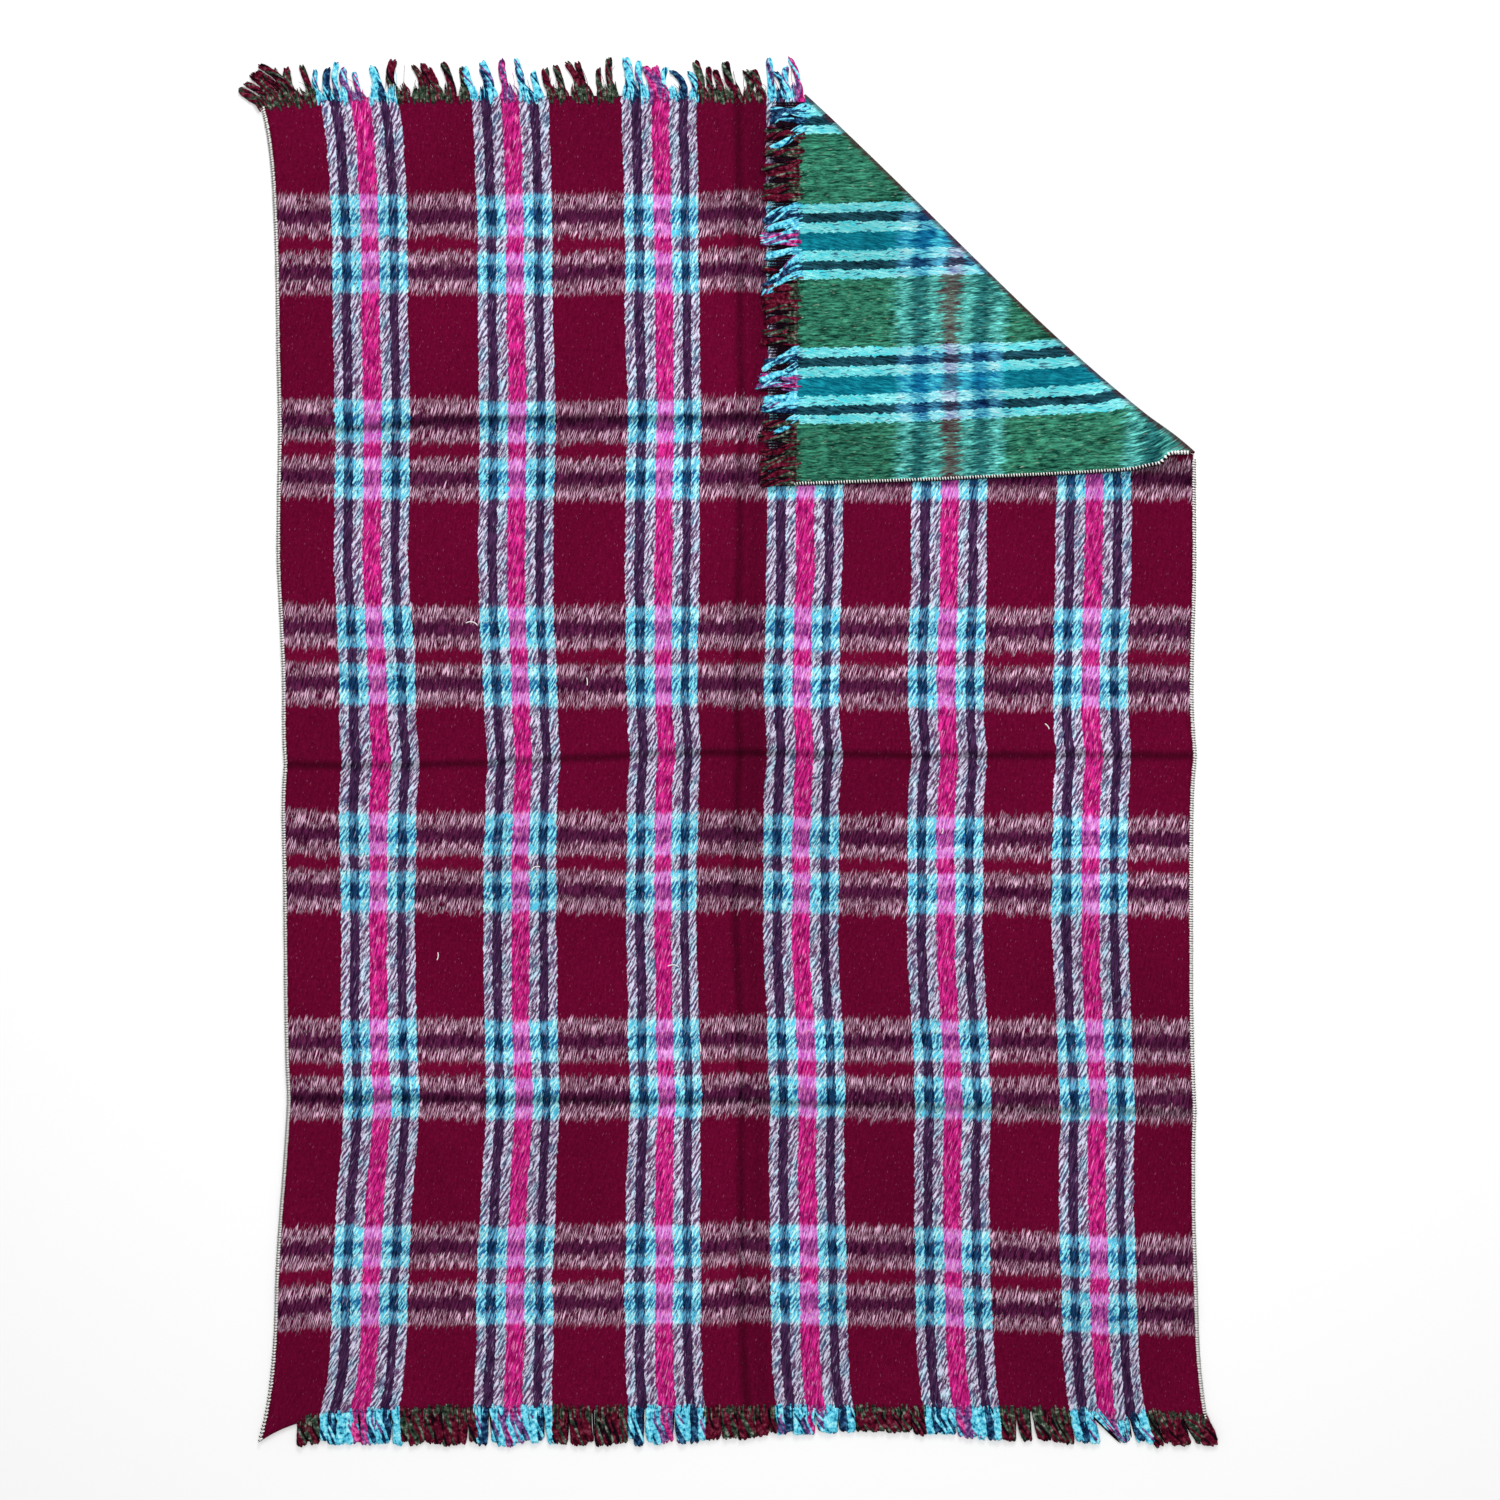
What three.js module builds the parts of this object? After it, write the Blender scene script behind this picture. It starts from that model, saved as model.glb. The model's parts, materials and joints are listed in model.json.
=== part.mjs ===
// A woollen plaid throw, laid out flat with its upper right corner turned over.
// The frame has its origin at the bottom centre of the whole throw: +X runs across
// the width, +Y along the length towards the turned corner, and +Z is up.
// Units are millimetres.
import * as THREE from "three";

// The whole throw, from tassel tip to tassel tip.
const HALF_WIDTH = 702.5;
const HALF_LENGTH = 1006.5;

// The cloth.
const CLOTH_LEFT = -640.5;
const CLOTH_RIGHT = 679.5;
const CLOTH_TOP = 942;
const CLOTH_BOTTOM = -948;
const THICKNESS = 3.5;

// The ends of the selvages flare outwards, and the corners droop past the cut ends.
const TOP_LEFT = { flare: 23, droop: 12, reach: 90 };
const BOTTOM_LEFT = { flare: 26, droop: 47, reach: 60 };
const BOTTOM_RIGHT = { flare: 16, droop: 8, reach: 90 };

// The turned corner: how far along the end and down the selvage the fold begins,
// and where the corner lies once it is turned.
const FOLD_ALONG_TOP = 563;
const FOLD_DOWN_SIDE = 517;
const TURNED_CORNER = new THREE.Vector2(111.7, 379.7);
const SELVAGE_KINK = new THREE.Vector2(587, 400);
const SELVAGE_TWIST = new THREE.Vector2(622, 423);

// Clearances between layers, panels and touching pieces.
const LAYER_GAP = 0.6;
const FOLD_SETBACK = 1;
const PIECE_GAP = 0.3;
const ROLL_GAP = 0.1;

// The storage crease that the lower quarter folds up along.
const CREASE_Y = -511;
const CREASE_STRIP_HALF = 3;
const CREASE_CLEARANCE = 0.5;

// The overlocked selvage binding.
const BINDING_WIDTH = 6;
const BINDING_PROUD = 0.8;

// Warp stripes, measured across the cloth from its left selvage.
const FIRST_STRIPE = 80;
const STRIPE_PITCH = 208;
const STRIPE_WIDTH = 108;
const STRIPE_COUNT = 6;

// The fringe.
const TASSEL_PITCH = 22;
const TASSEL_SLIT = 4;
const TASSEL_THICKNESS = 3;
const ROOT_GAP = 1.5;
const ROOT_BAND = 9;
const TIP_SHARE = 0.3;
const TOP_LEAN = -9;
const BOTTOM_LEAN = 2;
const FLAP_FRINGE_LENGTH = 45;
const BARE_CORNER = 50;
const LENGTH_DIPS = [0, 8, 3, 11, 5];

// Outlines of the tassel clumps that splay sideways past two corners of the cloth,
// measured from the corner, with the foot of each on the cut end.
const TOP_CLUMP_ROOTS = [30, 3];
const TOP_CLUMP_BACK = [
  [27, 32],
  [-6, 56],
];
const TOP_CLUMP_TIP = { setback: 5, high: 50, low: 26 };
const FOOT_CLUMP_ROOTS = [
  [PIECE_GAP, -2],
  [15, -2],
];
const FOOT_CLUMP_TIP = { high: -34, low: -42, setback: 9 };
const FOOT_CLUMP_BACK = [5, -30];

// How finely curved edges and the bend of the fold are cut into straight steps.
const EDGE_STEPS = 16;
const CORNER_STEPS = 6;
const END_STEPS = 64;
const ROLL_STEPS = 10;

const CLOTH_WIDTH = CLOTH_RIGHT - CLOTH_LEFT;
const FLAP_FLOOR = THICKNESS + LAYER_GAP;
const FOLD_START = new THREE.Vector2(CLOTH_RIGHT - FOLD_ALONG_TOP, CLOTH_TOP);
const FOLD_END = new THREE.Vector2(CLOTH_RIGHT, CLOTH_TOP - FOLD_DOWN_SIDE);
const FOLD_DIRECTION = FOLD_END.clone().sub(FOLD_START).normalize();
const FOLD_OUTWARD = new THREE.Vector2(-FOLD_DIRECTION.y, FOLD_DIRECTION.x);

const MATERIALS = {
  burgundy_wool: { color: 0x6c1939, roughness: 0.95, metalness: 0 },
  green_wool: { color: 0x2d7961, roughness: 0.95, metalness: 0 },
  plain_tassel: { color: 0x4a1a26, roughness: 0.95, metalness: 0 },
  stripe_tassel: { color: 0x5fb8cf, roughness: 0.95, metalness: 0 },
  overlock_thread: { color: 0xd9d2c4, roughness: 0.8, metalness: 0 },
};

const throwBlanket = new THREE.Group();
throwBlanket.name = "plaid_throw";

/** Adds a flat piece: an outline of [x, y] points, raised from floor by its height. */
function addSlab(name, outline, floor, height, finish) {
  const shape = new THREE.Shape(outline.map(([x, y]) => new THREE.Vector2(x, y)));
  const geometry = new THREE.ExtrudeGeometry(shape, { depth: height, bevelEnabled: false });
  const mesh = new THREE.Mesh(geometry, new THREE.MeshStandardMaterial(MATERIALS[finish]));
  mesh.name = name;
  mesh.position.z = floor;
  throwBlanket.add(mesh);
}

/** How much of a corner's flare or droop is left at a distance from the corner. */
function fade(corner, distance) {
  return Math.exp(-Math.max(distance, 0) / corner.reach);
}

function leftEdge(y) {
  const top = TOP_LEFT.flare * fade(TOP_LEFT, CLOTH_TOP - TOP_LEFT.droop - y);
  const foot = CLOTH_BOTTOM - BOTTOM_LEFT.droop;
  return CLOTH_LEFT - top - BOTTOM_LEFT.flare * fade(BOTTOM_LEFT, y - foot);
}

function rightEdge(y) {
  const foot = CLOTH_BOTTOM - BOTTOM_RIGHT.droop;
  return CLOTH_RIGHT + BOTTOM_RIGHT.flare * fade(BOTTOM_RIGHT, y - foot);
}

function topEdge(x) {
  return CLOTH_TOP - TOP_LEFT.droop * fade(TOP_LEFT, x - CLOTH_LEFT);
}

function bottomEdge(x) {
  const left = BOTTOM_LEFT.droop * fade(BOTTOM_LEFT, x - CLOTH_LEFT + BOTTOM_LEFT.flare);
  const right = BOTTOM_RIGHT.droop * fade(BOTTOM_RIGHT, CLOTH_RIGHT + BOTTOM_RIGHT.flare - x);
  return CLOTH_BOTTOM - left - right;
}

/** Evenly spaced values from one end to the other, both included. */
function span(from, to, steps = EDGE_STEPS) {
  return Array.from({ length: steps + 1 }, (_, i) => from + ((to - from) * i) / steps);
}

/** A point on the fold line, moved inwards by inset and along the fold by slide. */
function nearFold(point, inset, slide) {
  return point
    .clone()
    .addScaledVector(FOLD_OUTWARD, -inset)
    .addScaledVector(FOLD_DIRECTION, slide)
    .toArray();
}

/** The part of the cloth that stays down, from its top end to the storage crease. */
function addUpperCloth() {
  const inset = BINDING_WIDTH + PIECE_GAP;
  const crease = CREASE_Y + CREASE_STRIP_HALF + PIECE_GAP;
  const topLeft = CLOTH_TOP - TOP_LEFT.droop;
  const left = span(crease, topLeft).map((y) => [leftEdge(y) + inset, y]);
  const cornerX = leftEdge(topLeft) + inset;
  const top = span(cornerX, CLOTH_LEFT + STRIPE_PITCH, CORNER_STEPS)
    .slice(1)
    .map((x) => [x, topEdge(x)]);
  const foldTop = nearFold(FOLD_START, FOLD_SETBACK, 0);
  const foldFoot = nearFold(FOLD_END, FOLD_SETBACK, -inset / FOLD_DIRECTION.x);
  const outline = [...left, ...top, foldTop, foldFoot, [foldFoot[0], crease]];
  addSlab("cloth_upper", outline, 0, THICKNESS, "burgundy_wool");
}

/** The lower quarter, from the storage crease to the bottom end. */
function addLowerCloth() {
  const inset = BINDING_WIDTH + PIECE_GAP;
  const crease = CREASE_Y - CREASE_STRIP_HALF - PIECE_GAP;
  const leftFoot = CLOTH_BOTTOM - BOTTOM_LEFT.droop;
  const rightFoot = CLOTH_BOTTOM - BOTTOM_RIGHT.droop;
  const left = span(crease, leftFoot).map((y) => [leftEdge(y) + inset, y]);
  const footLeft = leftEdge(leftFoot) + inset;
  const footRight = rightEdge(rightFoot) - inset;
  const bottom = span(footLeft, footRight, END_STEPS)
    .slice(1, -1)
    .map((x) => [x, bottomEdge(x)]);
  const right = span(rightFoot, crease).map((y) => [rightEdge(y) - inset, y]);
  addSlab("cloth_lower", [...left, ...bottom, ...right], 0, THICKNESS, "burgundy_wool");
}

/** The strip of cloth that bends when the lower quarter folds up. */
function addCreaseStrip() {
  const inset = BINDING_WIDTH + PIECE_GAP;
  const low = CREASE_Y - CREASE_STRIP_HALF;
  const high = CREASE_Y + CREASE_STRIP_HALF;
  const outline = [
    [leftEdge(low) + inset, low],
    [rightEdge(low) - inset, low],
    [rightEdge(high) - inset, high],
    [leftEdge(high) + inset, high],
  ];
  const height = THICKNESS - 2 * CREASE_CLEARANCE;
  addSlab("crease_strip", outline, CREASE_CLEARANCE, height, "burgundy_wool");
}

/** The turned corner's selvage from the corner to the fold, moved up by inset. */
function turnedSelvage(inset) {
  const end = nearFold(FOLD_END, FOLD_SETBACK + BINDING_WIDTH, -2 * BINDING_WIDTH);
  const route = [TURNED_CORNER.toArray(), SELVAGE_KINK.toArray(), SELVAGE_TWIST.toArray(), end];
  return route.map(([x, y]) => [x, y + inset]);
}

/** The turned corner, lying on the upper cloth with its green reverse up. */
function addTurnedCorner() {
  const selvage = turnedSelvage(BINDING_WIDTH + PIECE_GAP);
  const outline = [nearFold(FOLD_START, FOLD_SETBACK, 0), ...selvage];
  addSlab("turned_corner", outline, FLAP_FLOOR, THICKNESS, "green_wool");
}

/** The bend that joins the upper cloth to the turned corner, outside the fold line. */
function addFoldRoll() {
  const radius = THICKNESS + LAYER_GAP / 2 - ROLL_GAP;
  const section = new THREE.Shape();
  section.absarc(0, 0, radius, -Math.PI / 2, Math.PI / 2, false);
  const length = FOLD_START.distanceTo(FOLD_END) - 2 * BINDING_WIDTH;
  const geometry = new THREE.ExtrudeGeometry(section, {
    depth: length,
    bevelEnabled: false,
    curveSegments: ROLL_STEPS,
  });
  const mesh = new THREE.Mesh(
    geometry,
    new THREE.MeshStandardMaterial(MATERIALS.burgundy_wool),
  );
  mesh.name = "fold_roll";
  const along = new THREE.Vector3(FOLD_DIRECTION.x, FOLD_DIRECTION.y, 0);
  const outward = new THREE.Vector3(FOLD_OUTWARD.x, FOLD_OUTWARD.y, 0);
  const up = new THREE.Vector3().crossVectors(along, outward);
  mesh.setRotationFromMatrix(new THREE.Matrix4().makeBasis(outward, up, along));
  mesh.position
    .set(FOLD_START.x, FOLD_START.y, THICKNESS + LAYER_GAP / 2)
    .addScaledVector(along, BINDING_WIDTH);
  throwBlanket.add(mesh);
}

/** An overlocked binding between two heights of one selvage. */
function addBinding(name, edge, inward, from, to) {
  const levels = span(from, to);
  const outer = levels.map((y) => [edge(y), y]);
  const inner = levels.map((y) => [edge(y) + inward * BINDING_WIDTH, y]).reverse();
  addSlab(name, [...outer, ...inner], 0, THICKNESS + BINDING_PROUD, "overlock_thread");
}

function addBindings() {
  const above = CREASE_Y + PIECE_GAP;
  const below = CREASE_Y - PIECE_GAP;
  const foldFoot = FOLD_END.y - 2 * BINDING_WIDTH;
  addBinding("binding_left_upper", leftEdge, 1, above, CLOTH_TOP - TOP_LEFT.droop);
  addBinding("binding_left_lower", leftEdge, 1, CLOTH_BOTTOM - BOTTOM_LEFT.droop, below);
  addBinding("binding_right_upper", rightEdge, -1, above, foldFoot);
  addBinding("binding_right_lower", rightEdge, -1, CLOTH_BOTTOM - BOTTOM_RIGHT.droop, below);

  const outline = [...turnedSelvage(0), ...turnedSelvage(BINDING_WIDTH).reverse()];
  addSlab("binding_turned", outline, FLAP_FLOOR, THICKNESS + BINDING_PROUD, "overlock_thread");
}

/**
 * A block of fringe along one end: a narrow band of knotted roots, then a row of
 * tassels. edge(s) is the cut end at a distance s across the cloth, outward the way
 * the tassels point, reach(root) how far a root's longest tassel goes.
 */
function addFringe({ name, from, to, edge, outward, reach, lean, floor, finish }) {
  const low = from + PIECE_GAP;
  const high = to - PIECE_GAP;
  const count = Math.max(1, Math.round((high - low) / TASSEL_PITCH));
  const pitch = (high - low) / count;
  const at = (s, out) => edge(s).clone().addScaledVector(outward, out);
  const side = edge(high).clone().sub(edge(low));
  side.addScaledVector(outward, -side.dot(outward)).normalize();
  const roots = span(low, high, count).map((s) => at(s, ROOT_GAP).toArray());
  const tassels = [];
  for (let i = 0; i < count; i++) {
    const middle = low + (i + 0.5) * pitch;
    const length = reach(edge(middle)) - LENGTH_DIPS[i % LENGTH_DIPS.length];
    const half = (pitch - TASSEL_SLIT) / 2;
    const tip = at(middle, length).addScaledVector(side, lean);
    tassels.push(at(middle - half, ROOT_BAND).toArray());
    tassels.push(tip.clone().addScaledVector(side, -TIP_SHARE * pitch).toArray());
    tassels.push(tip.clone().addScaledVector(side, TIP_SHARE * pitch).toArray());
    tassels.push(at(middle + half, ROOT_BAND).toArray());
  }
  const first = at(low, ROOT_BAND).toArray();
  const last = at(high, ROOT_BAND).toArray();
  const outline = [...roots, last, ...tassels.reverse(), first];
  addSlab(name, outline, floor, TASSEL_THICKNESS, finish);
}

/** The plain and striped stretches across the cloth, in order from the left selvage. */
function colourZones() {
  const zones = [];
  let from = 0;
  for (let i = 0; i < STRIPE_COUNT; i++) {
    const stripe = FIRST_STRIPE + i * STRIPE_PITCH;
    zones.push({ kind: "plain", number: i + 1, from, to: stripe });
    zones.push({ kind: "stripe", number: i + 1, from: stripe, to: stripe + STRIPE_WIDTH });
    from = stripe + STRIPE_WIDTH;
  }
  zones.push({ kind: "plain", number: STRIPE_COUNT + 1, from, to: CLOTH_WIDTH });
  return zones;
}

const across = (s, edgeY) => new THREE.Vector2(CLOTH_LEFT + s, edgeY(CLOTH_LEFT + s));

/** Fringe at the top end, as far as the fold. */
function addTopFringe(zones, foldAt) {
  for (const { kind, number, from, to } of zones.filter((zone) => zone.from < foldAt)) {
    addFringe({
      name: `fringe_top_${kind}_${number}`,
      from: Math.max(from, ROOT_BAND),
      to: Math.min(to, foldAt - 2 * PIECE_GAP),
      edge: (s) => across(s, topEdge),
      outward: new THREE.Vector2(0, 1),
      reach: (root) => HALF_LENGTH - root.y,
      lean: TOP_LEAN,
      floor: 0,
      finish: `${kind}_tassel`,
    });
  }
}

/** Fringe at the bottom end, which leaves the drooping corner bare. */
function addBottomFringe(zones) {
  for (const { kind, number, from, to } of zones) {
    addFringe({
      name: `fringe_bottom_${kind}_${number}`,
      from: Math.max(from, BARE_CORNER),
      to,
      edge: (s) => across(s, bottomEdge),
      outward: new THREE.Vector2(0, -1),
      reach: (root) => HALF_LENGTH + root.y,
      lean: BOTTOM_LEAN,
      floor: 0,
      finish: `${kind}_tassel`,
    });
  }
}

/** Fringe on the turned corner, pointing left over the upper cloth. */
function addTurnedFringe(zones, foldAt) {
  const start = foldAt + ROOT_BAND;
  const edge = (s) => {
    const share = (s - foldAt) / FOLD_ALONG_TOP;
    return FOLD_START.clone().lerp(TURNED_CORNER, share);
  };
  for (const { kind, number, from, to } of zones.filter((zone) => zone.to > start)) {
    addFringe({
      name: `fringe_turned_${kind}_${number}`,
      from: Math.max(from, start),
      to,
      edge,
      outward: new THREE.Vector2(-1, 0),
      reach: () => FLAP_FRINGE_LENGTH,
      lean: 0,
      floor: FLAP_FLOOR,
      finish: `${kind}_tassel`,
    });
  }
}

/** The tassels that splay sideways past the selvage at two of the corners. */
function addCornerTassels() {
  const topY = CLOTH_TOP - TOP_LEFT.droop;
  const topX = leftEdge(topY);
  const top = [
    ...[TOP_CLUMP_ROOTS, ...TOP_CLUMP_BACK].map(([x, y]) => [topX + x, topY + y]),
    [-HALF_WIDTH + TOP_CLUMP_TIP.setback, topY + TOP_CLUMP_TIP.high],
    [-HALF_WIDTH, topY + TOP_CLUMP_TIP.low],
    [topX, topY + PIECE_GAP],
  ];
  addSlab("corner_tassel_top", top, 0, TASSEL_THICKNESS, "plain_tassel");

  const footY = CLOTH_BOTTOM - BOTTOM_RIGHT.droop;
  const foot = [
    ...FOOT_CLUMP_ROOTS.map(([x, y]) => [CLOTH_RIGHT + x, footY + y]),
    [HALF_WIDTH, footY + FOOT_CLUMP_TIP.high],
    [HALF_WIDTH - FOOT_CLUMP_TIP.setback, footY + FOOT_CLUMP_TIP.low],
    [CLOTH_RIGHT + FOOT_CLUMP_BACK[0], footY + FOOT_CLUMP_BACK[1]],
  ];
  addSlab("corner_tassel_bottom", foot, 0, TASSEL_THICKNESS, "plain_tassel");
}

const zones = colourZones();
const foldAt = FOLD_START.x - CLOTH_LEFT;
addUpperCloth();
addLowerCloth();
addCreaseStrip();
addTurnedCorner();
addFoldRoll();
addBindings();
addTopFringe(zones, foldAt);
addBottomFringe(zones);
addTurnedFringe(zones, foldAt);
addCornerTassels();

export default throwBlanket;
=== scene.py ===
import json
import math

import bmesh
import bpy
import numpy as np
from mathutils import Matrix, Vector


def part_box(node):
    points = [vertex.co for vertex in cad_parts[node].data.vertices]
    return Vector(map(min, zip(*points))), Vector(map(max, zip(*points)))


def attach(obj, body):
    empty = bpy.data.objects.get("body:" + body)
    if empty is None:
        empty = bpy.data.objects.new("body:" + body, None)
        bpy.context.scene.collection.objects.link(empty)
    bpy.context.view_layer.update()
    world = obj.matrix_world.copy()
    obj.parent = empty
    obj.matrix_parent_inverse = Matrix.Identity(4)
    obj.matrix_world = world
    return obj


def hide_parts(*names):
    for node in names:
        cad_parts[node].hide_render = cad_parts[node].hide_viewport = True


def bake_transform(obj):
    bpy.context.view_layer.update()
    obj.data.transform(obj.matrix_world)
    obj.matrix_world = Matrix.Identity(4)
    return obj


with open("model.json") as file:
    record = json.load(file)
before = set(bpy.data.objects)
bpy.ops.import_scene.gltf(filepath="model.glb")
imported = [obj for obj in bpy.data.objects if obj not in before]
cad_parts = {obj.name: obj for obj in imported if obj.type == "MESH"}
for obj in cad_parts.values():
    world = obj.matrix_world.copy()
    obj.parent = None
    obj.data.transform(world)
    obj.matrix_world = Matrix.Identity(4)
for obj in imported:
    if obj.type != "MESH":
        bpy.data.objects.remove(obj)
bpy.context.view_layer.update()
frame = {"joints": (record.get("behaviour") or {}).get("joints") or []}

MM = 0.001
JOINTS = {joint["name"]: joint for joint in frame["joints"]}

# The cloth, flat. Its mesh stops short of the selvages, where the overlock wraps round.
LEFT, RIGHT, TOP, BOTTOM = -0.6405, 0.6795, 0.942, -0.948
WIDTH, LENGTH = RIGHT - LEFT, TOP - BOTTOM
THICKNESS = 3.2 * MM
HALF = THICKNESS / 2
GRID = 8 * MM
SELVAGE_INSET = 2 * MM

# The corners' flares and droops: how far sideways, how far down, and how fast they fade.
TOP_LEFT = {"flare": 0.023, "droop": 0.012, "reach": 0.09}
BOTTOM_LEFT = {"flare": 0.026, "droop": 0.047, "reach": 0.06}
BOTTOM_RIGHT = {"flare": 0.016, "droop": 0.008, "reach": 0.09}
DROOP_REACH = 0.09

# The diagonal fold, from a point on the top end to one on the right selvage.
FOLD_MIDDLE = np.array(JOINTS["corner_fold"]["pos_m"][:2])
FOLD_DIRECTION = -np.array(JOINTS["corner_fold"]["axis"][:2])
FOLD_OUTWARD = np.array([-FOLD_DIRECTION[1], FOLD_DIRECTION[0]])
FOLD_START = FOLD_MIDDLE + FOLD_DIRECTION * (TOP - FOLD_MIDDLE[1]) / FOLD_DIRECTION[1]
FOLD_END = FOLD_MIDDLE + FOLD_DIRECTION * (RIGHT - FOLD_MIDDLE[0]) / FOLD_DIRECTION[0]
FOLD_LENGTH = float(np.linalg.norm(FOLD_END - FOLD_START))
FOLD_START_S = float(FOLD_START[0]) - LEFT
FOLD_END_T = float(FOLD_END[1]) - BOTTOM
FOLD_AXIS_Z = JOINTS["corner_fold"]["pos_m"][2]
BEND_RADIUS = FOLD_AXIS_Z - HALF
HALF_BEND = math.pi * BEND_RADIUS / 2

# Where the turned corner's tip lies, and how the corner strays from a true reflection:
# the fold bows outward, the cut end sits to the left, and the selvage sags at these x.
TURNED_CORNER = np.array([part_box("turned_corner")[0].x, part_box("binding_turned")[0].y])
FOLD_BOW = 13 * MM
CUT_END_SHIFT = 11 * MM
SELVAGE_SAG = (
    (TURNED_CORNER[0], 0), (0.30, 8 * MM), (0.587, 16 * MM),
    (0.629, 10 * MM), (0.642, -3 * MM), (FOLD_END[0], -10 * MM),
)

# The hidden seam runs beside the fold at this depth, from this far in at each end, and
# what moves only on the corner's side eases in over this distance.
SEAM_DEPTH = 0.04
SEAM_RUN = 0.12
SEAM_EASE = 0.03

# Storage creases: lengthwise at one s, and three crosswise ones. Each of those runs from a
# height at the left selvage to another over some run, and kicks the warp aside near it.
CREASE_S = 0.664
CREASES = (
    {"left": 0.456, "right": 0.476, "run": 0.30, "kick": 4 * MM, "reach": 0.10},
    {"left": -0.024, "right": -0.002, "run": 0.75, "kick": 7 * MM, "reach": 0.04},
    {"left": -0.500, "right": -0.515, "run": WIDTH, "kick": 6 * MM, "reach": 0.07},
)
CREASE_ROUNDING = 0.01
RIDGE_REACH = 0.03

# Stripes: the first one's edge, the pitch and the width, across and along the cloth.
WARP_FIRST, WARP_PITCH, WARP_WIDTH, WARP_COUNT = 0.080, 0.208, 0.108, 6
WEFT_FIRST, WEFT_PITCH = 0.1225, 0.2967

# Random lift off the floor or off the cloth below: height, seed and size of each layer,
# and how many waves are summed to make one, with the peak that their sum seldom passes.
WAVE_COUNT, WAVE_PEAK = 5, 1.4
MAIN_SWELLS = ((0.9 * MM, 3, 0.42), (0.5 * MM, 5, 0.16))
EDGE_RIPPLES = ((0.8 * MM, 9, 0.11),)
FLAP_SWELLS = ((1.1 * MM, 21, 0.22), (0.6 * MM, 22, 0.07))
HIGHEST_LIFT = 3.0 * MM


def smooth(x, low, high):
    """Rises smoothly from 0 at low to 1 at high."""
    x = np.clip((np.asarray(x, float) - low) / (high - low), 0, 1)
    return x * x * (3 - 2 * x)


def fade(distance, reach):
    """Falls from 1 at no distance, by a factor of e over each reach."""
    return np.exp(-np.abs(distance) / reach)


def hump(x, centre, reach):
    """A rounded hump of height 1 about its centre."""
    return np.exp(-(((x - centre) / reach) ** 2))


def waves(x, y, seed, size):
    """A smooth random height between about -1 and 1 that varies over that size."""
    rng = np.random.default_rng(seed)
    total = np.zeros_like(np.asarray(x, float))
    for _ in range(WAVE_COUNT):
        turn, phase = rng.uniform(0, 2 * math.pi, 2)
        k = 2 * math.pi / (size * rng.uniform(0.7, 1.5))
        total += np.sin(k * (x * math.cos(turn) + y * math.sin(turn)) + phase)
    return total / math.sqrt(WAVE_COUNT) / WAVE_PEAK


def swells(x, y, layers):
    """A smooth random lift, the sum of its layers."""
    return sum(height * (1 + waves(x, y, seed, size)) for height, seed, size in layers)


# ---- where the cloth lies ----


def fold_coordinates(x, y):
    """Distance along the fold line, and out beyond it, of points of the flat cloth."""
    dx, dy = x - FOLD_START[0], y - FOLD_START[1]
    along = dx * FOLD_DIRECTION[0] + dy * FOLD_DIRECTION[1]
    return along, dx * FOLD_OUTWARD[0] + dy * FOLD_OUTWARD[1]


def from_fold(along, out):
    """Points, one to a row, at those distances along the fold line and out beyond it."""
    return FOLD_START + np.outer(along, FOLD_DIRECTION) + np.outer(out, FOLD_OUTWARD)


def seam_lines():
    """The hidden seam between the two cloth pieces: three lines, as point and normal."""
    places = [(0, 0), (SEAM_RUN, -SEAM_DEPTH), (FOLD_LENGTH - SEAM_RUN, -SEAM_DEPTH), (FOLD_LENGTH, 0)]
    knots = [from_fold(*place)[0] for place in places]
    lines = []
    for start, end in zip(knots, knots[1:]):
        run = end - start
        lines.append((start, np.array([-run[1], run[0]]) / np.linalg.norm(run)))
    return lines


SEAM_LINES = seam_lines()


def seam_distance(x, y):
    """How far points of the flat cloth are on the folded corner's side of the seam."""
    offsets = []
    for point, normal in SEAM_LINES:
        offsets.append((x - point[0]) * normal[0] + (y - point[1]) * normal[1])
    return np.min(offsets, axis=0)


def seam_ease(x, y):
    """0 at the seam, rising to 1 inside the folded corner."""
    return smooth(seam_distance(x, y), 0, SEAM_EASE)


def in_corner(x, y):
    """True on the folded corner's side of the seam."""
    return seam_distance(x, y) > 0


def stays_down(x, y):
    """True on the main cloth's side of the seam."""
    return not in_corner(x, y)


def crease_height(crease, s):
    """How high up the throw a crosswise crease runs at s."""
    return crease["left"] + (crease["right"] - crease["left"]) * smooth(s, 0, crease["run"])


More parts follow.
